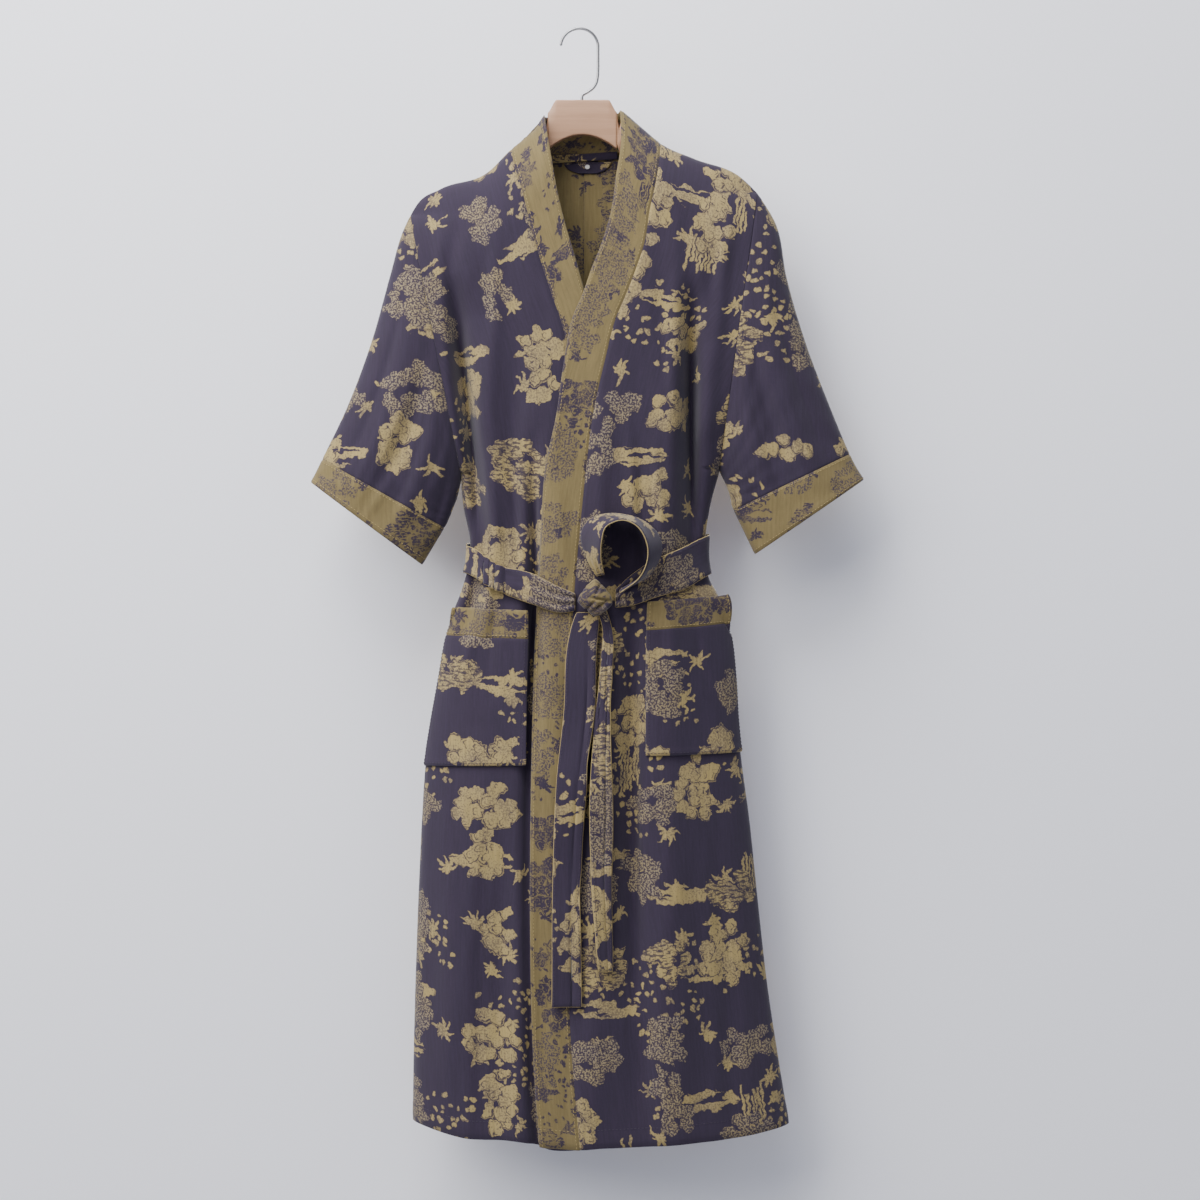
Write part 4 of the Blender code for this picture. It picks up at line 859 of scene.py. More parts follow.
def banks(tree, weave, spacing, shift):
    """Low streaked banks of cloud."""
    _, x, y, chances = cells(tree, weave, spacing, 0.5, shift)
    level = (x / (spacing * 0.34)) * (x / (spacing * 0.34)) + (y / (spacing * 0.10)) * (
        y / (spacing * 0.10))
    streak = noise(tree, scale_vector(tree, weave, (24.0, 130.0, 1.0)), 1.0, 2.0)
    edge = level + noise(tree, weave, 90.0) * 1.2
    return edge.below(1.5, 0.1) * streak.below(0.56, 0.04) * (chances[0] > 0.45)


def make_motif_group():
    """Where the motif thread lies on top: lobed heads, reeds, sprigs, blossoms and cloud banks."""
    group, given, end = new_group(
        "Woven motifs",
        [("Vector", "Vector", None), ("Spacing", "Float", 0.09), ("Cover", "Float", 1.0)],
        [("Motif", "Float"), ("Tone", "Float")])
    snapped = scale_vector(group, given["Vector"], (0.0006, 0.0006, 0.0006), "SNAP")
    drift = noise(group, snapped, 110.0, 2.0, output="Color")
    centred = scale_vector(group, drift, (-0.5, -0.5, -0.5), "ADD")
    warped = add_node(group, "ShaderNodeVectorMath",
                      {0: scale_vector(group, centred, (0.009, 0.009, 0.0)), 1: snapped},
                      operation="ADD")
    weave = out(warped)
    spacing = given["Spacing"]
    grain = noise(group, snapped, 470.0)
    patches = noise(group, snapped, 30.0)
    streaks = noise(group, scale_vector(group, snapped, (1.0, 3.0, 1.0)), 120.0)

    lobe, outline, chances = lobed_clusters(group, weave, spacing, given["Cover"], 0.145, 0.0)
    speckled = (chances[0] > 0.40) * (chances[0] < 0.80)
    streaky = chances[0] > 0.80
    fill = (speckled * grain.below(0.52, 0.03) * -0.85 + 1) * (
        streaky * streaks.below(0.46, 0.04) * -0.8 + 1)
    head = lobe * fill * (outline * (speckled * -0.5 + 0.9) * -1 + 1)

    clear = lobe * -1 + 1
    stems = reeds(group, weave, spacing * 1.5, 0.47)
    low = banks(group, weave, spacing * 1.25, 0.83)
    twigs = sprigs(group, weave, spacing * 0.62, 0.31, 0.62)
    blooms = blossoms(group, weave, spacing * 0.115, 0.73)
    small = stems.math("MAXIMUM", low).math("MAXIMUM", twigs).math("MAXIMUM", blooms)
    worn = grain.below(patches * 0.5 + 0.17, 0.03)
    motif = head.math("MAXIMUM", small * clear) * (worn * -0.45 + 1)
    tone = speckled * lobe * 0.55 + patches * 0.7 - 0.1
    for name, value in (("Motif", motif), ("Tone", tone.math("MAXIMUM", 0.0))):
        feed(group, end.inputs[name], value)
    return group


def make_slub_group():
    """Uneven vertical threads and the fine lines across them."""
    group, given, end = new_group(
        "Slub weave", [("Vector", "Vector", None)], [("Shade", "Float"), ("Height", "Float")])

    def threads(scale, detail, stretch):
        return noise(group, scale_vector(group, given["Vector"], stretch), scale, detail)

    slubs = threads(26.0, 3.0, (14.0, 1.0, 1.0))
    warp = threads(120.0, 2.0, (8.0, 0.9, 1.0))
    weft = threads(160.0, 1.0, (0.8, 7.0, 1.0))
    feed(group, end.inputs["Shade"], slubs * 0.55 + warp * 0.30 + weft * 0.15)
    feed(group, end.inputs["Height"], warp * 0.5 + weft * 0.35 + slubs * 0.4)
    return group


def make_cloth_group(motifs, slubs):
    """The two-colour cloth: ground and motif threads, their mixing, and the raised threads."""
    group, given, end = new_group(
        "Two-colour cloth",
        [("Vector", "Vector", None), ("Spacing", "Float", 0.09), ("Cover", "Float", 1.0),
         ("Slub", "Float", 0.2), ("Ground", "Color", None), ("Motif", "Color", None),
         ("Pale", "Color", None)],
        [("Color", "Color"), ("Height", "Float"), ("Roughness", "Float")])
    motif = add_node(group, "ShaderNodeGroup",
                     {label: given[label] for label in ("Vector", "Spacing", "Cover")}, node_tree=motifs)
    slub = add_node(group, "ShaderNodeGroup", {"Vector": given["Vector"]}, node_tree=slubs)
    thread = mix_colour(group, out(motif, "Tone").math("MINIMUM", 1.0), given["Motif"], given["Pale"])
    colour = mix_colour(group, out(motif, "Motif"), given["Ground"], thread)
    shade = (out(slub, "Shade") - 0.5) * given["Slub"] * 4 + 1
    feed(group, end.inputs["Color"], shaded(group, colour, shade))
    feed(group, end.inputs["Height"], out(slub, "Height") + out(motif, "Motif") * 0.35)
    feed(group, end.inputs["Roughness"], out(slub, "Shade") * 0.12 + 0.76)
    return group


def make_grain_group():
    """Long wood grain with pores."""
    group, given, end = new_group(
        "Wood grain", [("Vector", "Vector", None)], [("Grain", "Float"), ("Height", "Float")])
    bend = noise(group, scale_vector(group, given["Vector"], (9.0, 60.0, 120.0)), 1.0, 4.0, "3D")
    pores = noise(group, scale_vector(group, given["Vector"], (60.0, 900.0, 1400.0)), 1.0, 2.0, "3D")
    grain = ((bend * 22).math("SINE") * 0.5 + 0.5) * 0.5 + pores * 0.5
    feed(group, end.inputs["Grain"], grain)
    feed(group, end.inputs["Height"], pores.below(0.42, 0.1) * -1 + 1)
    return group


def new_material(name, roughness, **uniform):
    """A material with a plain shader; uniform values are set on the shader's own sockets."""
    material = bpy.data.materials.new(name)
    material.use_nodes = True
    shader = material.node_tree.nodes["Principled BSDF"]
    shader.inputs["Roughness"].default_value = roughness
    for label, value in uniform.items():
        shader.inputs[label.replace("_", " ")].default_value = value
    return material, material.node_tree, shader


def dress(tree, shader, colour, rough, height, strength, depth):
    """Feeds a shader with a colour, a roughness and a bump."""
    bump = add_node(tree, "ShaderNodeBump", {"Strength": strength, "Distance": depth, "Height": height})
    for label, value in (("Base Color", colour), ("Roughness", rough), ("Normal", out(bump, "Normal"))):
        feed(tree, shader.inputs[label], value)


def cloth_material(name, group, spacing, cover, ground, motif, pale):
    cloth = bpy.context.scene.robe_cloth
    material, tree, shader = new_material(name, 0.82, Sheen_Weight=cloth.sheen, Sheen_Roughness=0.5,
                                          Specular_IOR_Level=0.25)
    place = add_node(tree, "ShaderNodeUVMap", uv_map="Cut")
    weave = add_node(
        tree, "ShaderNodeGroup",
        {"Vector": out(place), "Spacing": spacing, "Cover": cover, "Slub": cloth.slub,
         "Ground": (*ground, 1.0), "Motif": (*motif, 1.0), "Pale": (*pale, 1.0)}, node_tree=group)
    dress(tree, shader, out(weave, "Color"), out(weave, "Roughness"), out(weave, "Height"), 0.35, 0.0004)
    return material


def plain_material(name, colour, roughness, scale, depth, metallic=0.0):
    """Thread, pearl or wire: one colour with slight cloudiness and a fine uneven surface."""
    material, tree, shader = new_material(name, roughness, Metallic=metallic)
    place = add_node(tree, "ShaderNodeTexCoord")
    cloud = noise(tree, out(place, "Object"), scale, 3.0, "3D")
    tinted = shaded(tree, (*colour, 1.0), cloud * 0.35 + 0.82)
    dress(tree, shader, tinted, cloud * 0.2 + (roughness - 0.1), cloud, 0.2, depth)
    return material


def wood_material(grain_group):
    hanger = bpy.context.scene.robe_hanger
    material, tree, shader = new_material("Beech", 0.45)
    place = add_node(tree, "ShaderNodeTexCoord")
    grain = add_node(tree, "ShaderNodeGroup", {"Vector": out(place, "Object")}, node_tree=grain_group)
    colour = mix_colour(tree, out(grain, "Grain"), (*hanger.light, 1.0), (*hanger.grain, 1.0))
    rough = out(grain, "Grain") * 0.2 + 0.38
    dress(tree, shader, colour, rough, out(grain, "Height"), 0.15, 0.0003)
    return material


def make_materials():
    cloth = bpy.context.scene.robe_cloth
    group = make_cloth_group(make_motif_group(), make_slub_group())
    cloth_material("Dark cloth", group, cloth.head, 1.0, cloth.dark, cloth.gold, cloth.pale)
    cloth_material("Gold cloth", group, cloth.head * 0.76, 1.25, cloth.band, cloth.dark, cloth.dusk)
    plain_material("Dark thread", cloth.dark, 0.7, 900.0, 0.0001)
    plain_material("Gold thread", cloth.gold, 0.7, 900.0, 0.0001)
    plain_material("Pearl", (0.70, 0.68, 0.62), 0.25, 400.0, 0.0001)
    plain_material("Steel wire", bpy.context.scene.robe_hanger.steel, 0.28, 700.0, 0.00005,
                   metallic=1.0)
    wood_material(make_grain_group())


def find_material(name):
    """One of the robe's materials; all are made when the first one is needed."""
    if name not in bpy.data.materials:
        make_materials()
    return bpy.data.materials[name]


# Fronts and backs

def row_steps():
    """Places of the rows from the hem (0) to the underarm (1) and on to the shoulder (2)."""
    body = [(r / ROWS_BODY) ** 0.9 for r in range(ROWS_BODY + 1)]
    return np.array(body + [1 + (1 - math.cos(math.pi * r / ROWS_ARM)) / 2
                            for r in range(1, ROWS_ARM + 1)])


def armhole_axis(side):
    """Unit vectors up the armhole and square to it, towards the body."""
    up = unit(np.array((TIP[side][0] - UNDERARM[side][0], 0.0, TIP[side][1] - UNDERARM[side][1])))
    inward = np.array((up[2], 0.0, -up[0]))
    return up, inward if side == "right" else -inward


def shoulder_normals(x):
    """Normals along the shoulder seam, square to it in the middle plane."""
    step = 4 * MM
    slope = (shoulder_height(x + step) - shoulder_height(x - step)) / (2 * step)
    slope = np.where(abs(x - MIDDLE) < 60 * MM, -1.2 * np.sign(x - MIDDLE), slope)
    return unit(np.stack([-slope, np.zeros_like(slope), np.ones_like(slope)], axis=-1))


def panel_grid(side, guides, counts, face, over=False):
    """Points of a front or back from its side seam to its inner edge; guides are (curve, top)."""
    steps = row_steps()[:, None]
    low, tip = UNDERARM[side], TIP[side]
    body = steps <= 1
    hem = HEM.at(SIDES.at(-1260 * MM, side), "height")
    height = np.where(body, blend(hem, low[1], steps), blend(low[1], tip[1], steps - 1))
    corners = [(np.where(body, side_x(side, height), blend(low[0], tip[0], steps - 1)), height)]
    for curve, top in guides:
        hem_here = HEM.at(curve(-1275 * MM), "height")
        height = np.where(body, blend(hem_here, low[1], steps), blend(low[1], top, steps - 1))
        corners.append((curve(height), height))
    xs, heights = [], []
    for k, count in enumerate(counts):
        last = k == len(counts) - 1
        t = (np.arange(count + last) / count)[None, :] ** (1.7 if k == 0 else 1.0)
        (x0, z0), (x1, z1) = corners[k], corners[k + 1]
        x, z = blend(x0, x1, t), blend(z0, z1, t)
        if k == 0:
            straight = blend(hem, HEM.at(x1, "height"), t)
            z = z + np.where(body & (t > 0), (HEM.at(x, "height") - straight) * (1 - steps) ** 2, 0.0)
        rising = np.maximum(steps - 1, 0.0)
        if face == "front" or not last:
            end = shoulder_height(blend(x0[-1:], x1[-1:], t)) - blend(z0[-1:], z1[-1:], t)
            z = z + end * rising ** 2
            z[-1] = shoulder_height(x[-1])
        else:
            place = (x[-1] - SEAM_RIGHT) / (SEAM_LEFT - SEAM_RIGHT)
            end = neck_points(place, 0.0)[:, 2] - blend(z0[-1], z1[-1], t[0])
            z = z + end[None, :] * rising ** 6
        xs.append(x)
        heights.append(z)
    x, z = np.concatenate(xs, axis=1), np.concatenate(heights, axis=1)
    y = front_y(x, z, over) if face == "front" else back_y(x, z)
    away = smooth_step(abs(x - x[:, :1]) / FADE) * smooth_step(abs(x - x[:, -1:]) / FADE)
    lean = fold_rise(FRONT_LEANS if face == "front" else BACK_LEANS, x, z)
    return np.stack([x + lean * away, y, z], axis=2)


def panel_normals(grid, side, face, shoulder_columns):
    """Normals of a front or back, turned at its seams so that it meets its neighbours."""
    facing = -1.0 if face == "front" else 1.0
    normals = grid_normals(grid, (0, facing, 0))
    up = armhole_axis(side)[0]
    arm = row_steps() > 1
    turn = math.pi * np.arange(1, ROWS_ARM + 1) / ROWS_ARM
    normals[~arm, 0] = (-1.0 if side == "right" else 1.0, 0.0, 0.0)
    normals[arm, 0] = (-np.cos(turn)[:, None] * up
                       + facing * np.sin(turn)[:, None] * np.array((0.0, 1.0, 0.0)))
    normals[-1, :shoulder_columns] = shoulder_normals(grid[-1, :shoulder_columns, 0])
    return unit(normals)


def neck_points(share, level):
    """Points of the back neck band; share runs round the neck, level from seam to upper edge."""
    share = np.asarray(share, float)
    low_x = blend(SEAM_RIGHT, SEAM_LEFT, share)
    top_x = blend(NECK_RIGHT, NECK_LEFT, share)
    bow = np.sin(math.pi * np.clip(share, 0, 1)) ** 0.7
    low = blend(blend(shoulder_height(SEAM_RIGHT), shoulder_height(SEAM_LEFT), share), NECK_SEAM, bow)
    ends = blend(SHOULDER.at(NECK_RIGHT, "height"), SHOULDER.at(NECK_LEFT, "height"), share)
    top = blend(ends, NECK_TOP, bow)
    x, height = blend(low_x, top_x, level), blend(low, top, level)
    height = np.where((share <= 0) | (share >= 1), shoulder_height(x), height)
    return np.stack([x, back_y(x, height), height], axis=-1)


class RobeOperator(bpy.types.Operator):
    """Shared options of the robe's operators."""
    bl_options = {"REGISTER", "UNDO"}


FRONT_COLUMNS = 52
BAND_COLUMNS = 14
BACK_COLUMNS = (34, 26)


class MakeFronts(RobeOperator):
    """Make both fronts with their neck bands"""
    bl_idname = "robe.make_fronts"
    bl_label = "Fronts"

    def execute(self, context):
        dark, gold = find_material("Dark cloth"), find_material("Gold cloth")
        hems, bands = [], []
        for side, table, seam_x, neck_x in (("right", RIGHT_FRONT, SEAM_RIGHT, NECK_RIGHT),
                                            ("left", LEFT_FRONT, SEAM_LEFT, NECK_LEFT)):
            guides = [(lambda h, t=table: t.at(h, "seam"), shoulder_height(seam_x)),
                      (lambda h, t=table: t.at(h, "edge"), SHOULDER.at(neck_x, "height"))]
            grid = panel_grid(side, guides, (FRONT_COLUMNS, BAND_COLUMNS), "front", side == "left")
            if side == "right":
                grid[:, :, 1] += lap_trough(grid[:, :, 0], grid[:, :, 2])
            normals = panel_normals(grid, side, "front", grid.shape[1])
            across = unit(grid[:, FRONT_COLUMNS + 1] - grid[:, FRONT_COLUMNS - 1])
            grid[:, 0] += armhole_axis(side)[1] * SEAM_GAP / 2
            for name, part, part_normals, shift in (
                    ("front_" + side, grid[:, :FRONT_COLUMNS + 1], normals[:, :FRONT_COLUMNS + 1], -1),
                    ("band_" + side, grid[:, FRONT_COLUMNS:], normals[:, FRONT_COLUMNS:], 1)):
                part = part.copy()
                part[:, -1 if shift < 0 else 0] += shift * across * SEAM_GAP / 2
                band = shift > 0
                half = wall_thickness(part, WALL, [(0, HEM_WIDTH)],
                                      [(-1, BAND_TURN)] if band else [])
                if band:
                    places = cut_places(part, CUT_FROM[name])
                else:
                    places = cut_places(part[:, ::-1], CUT_FROM[name])[:, ::-1]
                made = cloth_wall("look_" + name, part, part_normals, places, half,
                                  gold if band else dark, dark if band else gold)
                if band:
                    place_piece(made, "gold_cloth", name)
                else:
                    place_piece(made, "dark_cloth", name, "front_skirt_" + side)
                declare_cut(part)
                lines = [line_at(part, part_normals, half, row=0, inside=HEM_STITCH)]
                if band:
                    lines.append(line_at(part, part_normals, half, column=0, inside=SEAM_STITCH))
                    lines.append(line_at(part, part_normals, half, column=-1, inside=EDGE_STITCH))
                (bands if band else hems).extend(lines)
        sew("look_front_hem_stitches", hems, find_material("Dark thread"), "dark_cloth")
        sew("look_band_stitches", bands, find_material("Gold thread"), "gold_cloth")
        return {"FINISHED"}


class MakeBacks(RobeOperator):
    """Make both backs and the band round the back of the neck"""
    bl_idname = "robe.make_backs"
    bl_label = "Backs"

    def execute(self, context):
        dark, gold = find_material("Dark cloth"), find_material("Gold cloth")
        hems = []
        for side, seam_x in (("right", SEAM_RIGHT), ("left", SEAM_LEFT)):
            guides = [(lambda h, s=seam_x: blend(s, s * 0.9, (h + 138 * MM) / -1.1),
                       shoulder_height(seam_x)),
                      (lambda h: MIDDLE + 0 * h, NECK_SEAM)]
            grid = panel_grid(side, guides, BACK_COLUMNS, "back")
            normals = panel_normals(grid, side, "back", BACK_COLUMNS[0] + 1)
            normals[:, -1] = unit(normals[:, -1] * (0, 1, 1))
            inward = np.array((1.0 if side == "right" else -1.0, 0.0, 0.0))
            grid[:, 0] += armhole_axis(side)[1] * SEAM_GAP / 2
            grid[:, -1] -= inward * SEAM_GAP / 2
            half = wall_thickness(grid, WALL, [(0, HEM_WIDTH)])
            places = cut_places(grid[:, ::-1], CUT_FROM["back_" + side])[:, ::-1]
            made = cloth_wall("look_back_" + side, grid, normals, places, half, dark, gold)
            place_piece(made, "dark_cloth", "back_" + side, "back_skirt_" + side)
            declare_cut(grid)
            hems.append(line_at(grid, normals, half, row=0, inside=HEM_STITCH))
        share = np.linspace(0.0, 1.0, 76)
        grid = np.array([neck_points(share, level / 14) for level in range(15)])
        normals = grid_normals(grid, (0, 1, 0))
        for c in (0, -1):
            normals[:, c] = shoulder_normals(grid[:, c, 0])
        grid[:, (0, -1), 1] += SEAM_GAP / 2
        grid[0, :, 2] += SEAM_GAP / 2
        half = wall_thickness(grid, WALL, [(-1, BAND_TURN)])
        places = cut_places(grid, CUT_FROM["band_neck"])
        made = cloth_wall("look_band_neck", grid, normals, places, half, gold, gold)
        place_piece(made, "gold_cloth", "band_neck")
        declare_cut(grid)
        sew("look_back_hem_stitches", hems, find_material("Dark thread"), "dark_cloth")
        lines = [line_at(grid, normals, half, row=-1, inside=EDGE_STITCH),
                 line_at(grid, normals, half, row=0, inside=SEAM_STITCH)]
        sew("look_neck_stitches", lines, find_material("Gold thread"), "gold_cloth")
        return {"FINISHED"}


# Sleeves

SLEEVE_ROWS = 84
CUFF_ROWS = 16


def sleeve_grid(side, places):
    """Sections of a sleeve: over the front from the upper fold line and back behind."""
    table = SLEEVES[side]
    place = places[:, None]
    turn = math.pi * np.arange(2 * ROWS_ARM)[None, :] / ROWS_ARM
    share = (1 - np.cos(turn)) / 2
    x = blend(table.at(place, "top_x"), table.at(place, "low_x"), share)
    z = blend(table.at(place, "top_z"), table.at(place, "low_z"), share)
    rise = np.zeros(np.broadcast(place, turn).shape)
    front = turn < math.pi
    for near, far, start, end, width, height in SLEEVE_FOLDS:
        along = (place / (1000 * MM) - start) / (end - start)
        live = (along > 0) & (along < 1) & (place > 0)
        at = blend(near, far, np.clip(along, 0, 1))
        around = np.where(front, at, 1 - at)
        swell = np.sin(math.pi * np.clip(along, 0, 1))
        rise += np.where(live, height * MM * swell * np.exp(-((share - around) / width) ** 2), 0.0)
    uneven = np.sin(turn * 7 + place * 21) * np.sin(place * 13 + 3 * np.sin(turn * 2))
    rise += 0.45 * MM * uneven * smooth_step(place / 0.15)
    y = (-table.at(place, "depth") * np.sin(turn)
         + np.where(front, -1, 1) * rise * smooth_step(abs(np.sin(turn)) * 2))
    return np.stack([x, y, z], axis=2)


def unfolded_sleeve(grid, corner):
    """Places on the flat cloth, unfolded along the upper fold line, which is the middle column."""
    ring = np.concatenate([grid, grid[:, :1]], axis=1)
    around = lengths(ring, 1)
    middle = grid.shape[1] // 2
    away = abs(around - around[:, middle:middle + 1])[:, :, None]
    top, low = ring[:, middle][:, (0, 2)], ring[:, 0][:, (0, 2)]
    down = unit(low - top)
    fold = unit(top[-1] - top[0])
    square = np.array((fold[1], -fold[0]))
    mirrored = down - 2 * (down @ square)[:, None] * square
    back = (np.arange(ring.shape[1]) < middle)[None, :, None]
    return top[:, None] + np.where(back, mirrored[:, None], down[:, None]) * away + np.array(corner)


class MakeSleeves(RobeOperator):
    """Make both sleeves with their turned cuffs"""
    bl_idname = "robe.make_sleeves"
    bl_label = "Sleeves"

    def execute(self, context):
        dark, gold = find_material("Dark cloth"), find_material("Gold cloth")
        lines = []
        for side in ("right", "left"):
            steps = np.concatenate([
                CUFF_SEAM * np.arange(SLEEVE_ROWS + 1) / SLEEVE_ROWS,
                blend(CUFF_SEAM, CUFF_END, np.arange(1, CUFF_ROWS + 1) / CUFF_ROWS)])
            grid = sleeve_grid(side, steps)
            normals = grid_normals(grid, (0, -1, 0), closed=True)
            up, inward = armhole_axis(side)
            turn = math.pi * np.arange(2 * ROWS_ARM)[:, None] / ROWS_ARM
            normals[0] = np.cos(turn) * up - np.sin(turn) * np.array((0.0, 1.0, 0.0))
            grid[0] -= inward * SEAM_GAP / 2
            grid, normals = np.roll(grid, ROWS_ARM, axis=1), np.roll(normals, ROWS_ARM, axis=1)
            along = unit(grid[SLEEVE_ROWS + 1] - grid[SLEEVE_ROWS])
            for name, rows in (("sleeve_" + side, slice(0, SLEEVE_ROWS + 1)),
                               ("cuff_" + side, slice(SLEEVE_ROWS, None))):
                part, part_normals = grid[rows].copy(), normals[rows]
                cuff = name.startswith("cuff")
                part[0 if cuff else -1] += along * SEAM_GAP / 2 * (1 if cuff else -1)
                half = wall_thickness(part, WALL, [(-1, SMALL_TURN)] if cuff else [], closed=True)
                places = unfolded_sleeve(part, CUT_FROM[name])
                made = cloth_wall("look_" + name, part, part_normals, places, half,
                                  gold if cuff else dark, dark if cuff else gold, closed=True)
                place_piece(made, "gold_cloth" if cuff else "dark_cloth", name)
                declare_cut(part, closed=True)
                if cuff:
                    for row, inside in ((0, SEAM_STITCH), (-1, EDGE_STITCH)):
                        line, line_normals = line_at(part, part_normals, half, row=row, inside=inside)
                        lines.append((np.concatenate([line, line[:1]]),
                                      np.concatenate([line_normals, line_normals[:1]])))
        sew("look_cuff_stitches", lines, find_material("Gold thread"), "gold_cloth")
        return {"FINISHED"}


# Pockets

POCKET_ROWS = 60
POCKET_BAND_ROWS = 13
POCKET_COLUMNS = 44


def laid_out(grid, normals, wall, gap):
    """Points of a piece that lies on a panel: the panel's own points, moved out."""
    return grid + normals * (WALL / 2 + gap + wall / 2)


def pocket_grid(side):
    """Points of a pocket with its band, from its inner edge to the side seam."""
    t = np.linspace(0, 1, POCKET_COLUMNS)[None, :]
    top = blend(*POCKET_TOP[side], t)
    low = blend(*POCKET_LOW[side], t)
    band = top - POCKET_BAND
    down = np.concatenate([np.linspace(0, 1, POCKET_BAND_ROWS), np.linspace(0, 1, POCKET_ROWS)[1:]])
    upper = np.arange(len(down)) < POCKET_BAND_ROWS
    height = np.where(upper[:, None], blend(top, band, down[:, None]), blend(band, low, down[:, None]))
    inward = 1.0 if side == "right" else -1.0
    flare = POCKET_FLARE[side] * smooth_step((height + 700 * MM) / (50 * MM))
    edge = side_x(side, height) + inward * (1.2 * MM - flare)
    x = blend(POCKETS[side].at(height, "inner"), edge, 1 - (1 - t) ** 1.4)
    along = np.minimum(-inward * x, -inward * edge - 2 * flare) * -inward
    y = outer_front_y(along, height, creased=0.55)
    clearance = np.maximum(0.0, y - outer_front_y(along, height))
    y = y - clearance - 2.2 * MM * np.sin(math.pi * t) ** 2 * smooth_step(1 - (top - height) / 0.05)
    return np.stack([x, y, height], axis=2)


class MakePockets(RobeOperator):
    """Make both patch pockets with their gold bands"""
    bl_idname = "robe.make_pockets"
    bl_label = "Pockets"

    def execute(self, context):
        dark, gold = find_material("Dark cloth"), find_material("Gold cloth")
        edges, tops = [], []
        for side in ("right", "left"):
            grid = pocket_grid(side)
            normals = grid_normals(grid, (0, -1, 0))
            grid = laid_out(grid, normals, WALL, LAID_GAP)
            seam = POCKET_BAND_ROWS - 1
            for name, rows in (("pocket_band_" + side, slice(0, seam + 1)),
                               ("pocket_" + side, slice(seam, None))):
                part, part_normals = grid[rows].copy(), normals[rows]
                band = "band" in name
                part[-1 if band else 0, :, 2] += SEAM_GAP / 2 * (1 if band else -1)
                half = wall_thickness(part, WALL, [] if band else [(-1, SMALL_TURN)],
                                      [(0, SMALL_TURN), (-1, SMALL_TURN)])
                places = cut_places(part, CUT_FROM[name])
                made = cloth_wall("look_" + name, part, part_normals, places, half,
                                  gold if band else dark, dark if band else gold)
                place_piece(made, "gold_cloth" if band else "dark_cloth", name)
                declare_cut(part)
                for place in ({"column": 0}, {"column": -1}, {"row": -1}):
                    line = line_at(part, part_normals, half, inside=SEAM_STITCH, **place)
                    (tops if band else edges).append(line)
        sew("look_pocket_stitches", edges, find_material("Dark thread"), "dark_cloth")
        sew("look_pocket_band_stitches", tops, find_material("Gold thread"), "gold_cloth")
        return {"FINISHED"}


# Belt

BELT_STEPS = 90
BELT_COLUMNS = 17


def belt_grid(table, side, end, face):
    """Rows across the belt from a side seam to its end, on the cloth's own points."""
    start = float(side_x(side, table.at(-1.0 if side == "right" else 1.0, "height")))
    t = (np.linspace(0, 1, BELT_STEPS) ** 1.6)[:, None]
    j = np.linspace(1, -1, BELT_COLUMNS)[None, :]
    x = blend(start, end, t)
    height = table.at(x, "height") + table.at(x, "half") * j
    shift = (side_x(side, height) - start) * (1 - t) ** 3
    x = x + shift
    if face == "front":
        y = outer_front_y(x, height, True) - BELT_SPARE * (1 - t) ** 5
    else:
        y = back_y(x, height, True) + BELT_SPARE * (1 - t) ** 5
    x = x + math.copysign(BELT_SPARE, start) * (1 - t) ** 5
    return np.stack([x, y, height], axis=2)


def belt_pleats(grid, normals, end_share, depth):
    """Long creases in a belt that gather towards its knotted end."""
    rows, columns = grid.shape[:2]
    t = np.linspace(0, 1, rows)[:, None]
    across = np.linspace(-1, 1, columns)[None, :]
    near = smooth_step((t - end_share) / (1 - end_share))
    pleat = 0.5 + 0.5 * np.cos(across * (5.5 + 2.5 * t) + 1.2 * np.sin(t * 7))
    slack = 0.4 * MM * (1 + np.sin(t * 23 + across * 2.5)) * smooth_step(t * 6) * (1 - near)
    edge = 1 - abs(across) ** 6
    return grid + normals * ((depth * near * pleat + slack) * edge)[:, :, None]


def lay_belt(name, grid, facing, ends, pleated=True):
    """A stretch of the belt round the robe; ends are the rows that meet at the side seams."""
    normals = grid_normals(grid, (0, facing, 0))
    for end in ends:
        normals[end] = (math.copysign(1, grid[end, 0, 0]), 0, 0)
        grid[end, :, 1] = facing * SEAM_GAP / 2
    grid = laid_out(grid, normals, BELT_WALL, BELT_GAP)
    if pleated:
        grid = belt_pleats(grid, normals, 0.50, 2.8 * MM)
    return belt_piece(name, grid, normals)


def belt_piece(name, grid, normals):
    """One stretch of the doubled belt, with gold showing along its folded edges."""
    dark = find_material("Dark cloth")
    half = wall_thickness(grid, BELT_WALL)
    places = cut_places(grid, CUT_FROM[name])
    made = cloth_wall("look_" + name, grid, normals, places, half, dark, dark,
                      rim=find_material("Gold thread"))
    place_piece(made, "belt_cloth", name)
    declare_cut(grid)
    return [line_at(grid, normals, half, column=column, inside=BELT_STITCH) for column in (0, -1)]


def tail_grid(table, wave, twist):
    """A tail of the belt, which hangs from the knot and lifts a little off the robe."""
    heights = np.linspace(table.columns[0][0], table.columns[0][-1], 110)[:, None]
    j = np.linspace(-1, 1, BELT_COLUMNS)[None, :]
    x = table.at(heights, "x") + table.at(heights, "half") * j
    y = outer_front_y(x, heights + 0 * j, True)
    down = (table.columns[0][-1] - heights) / (table.columns[0][-1] - table.columns[0][0])
    free = smooth_step(down * 4)
    lift = wave * free * (1 + np.sin(down * 17 + 0.8 * j))
    lift = lift + twist * free * (1 + j * np.sin(down * 5 + 0.6))
    fold = 1.4 * MM * np.exp(-((j - 0.38 - 0.1 * np.sin(down * 6)) / 0.10) ** 2) * free
    return np.stack([x, y - lift + fold, heights + 0 * j], axis=2)


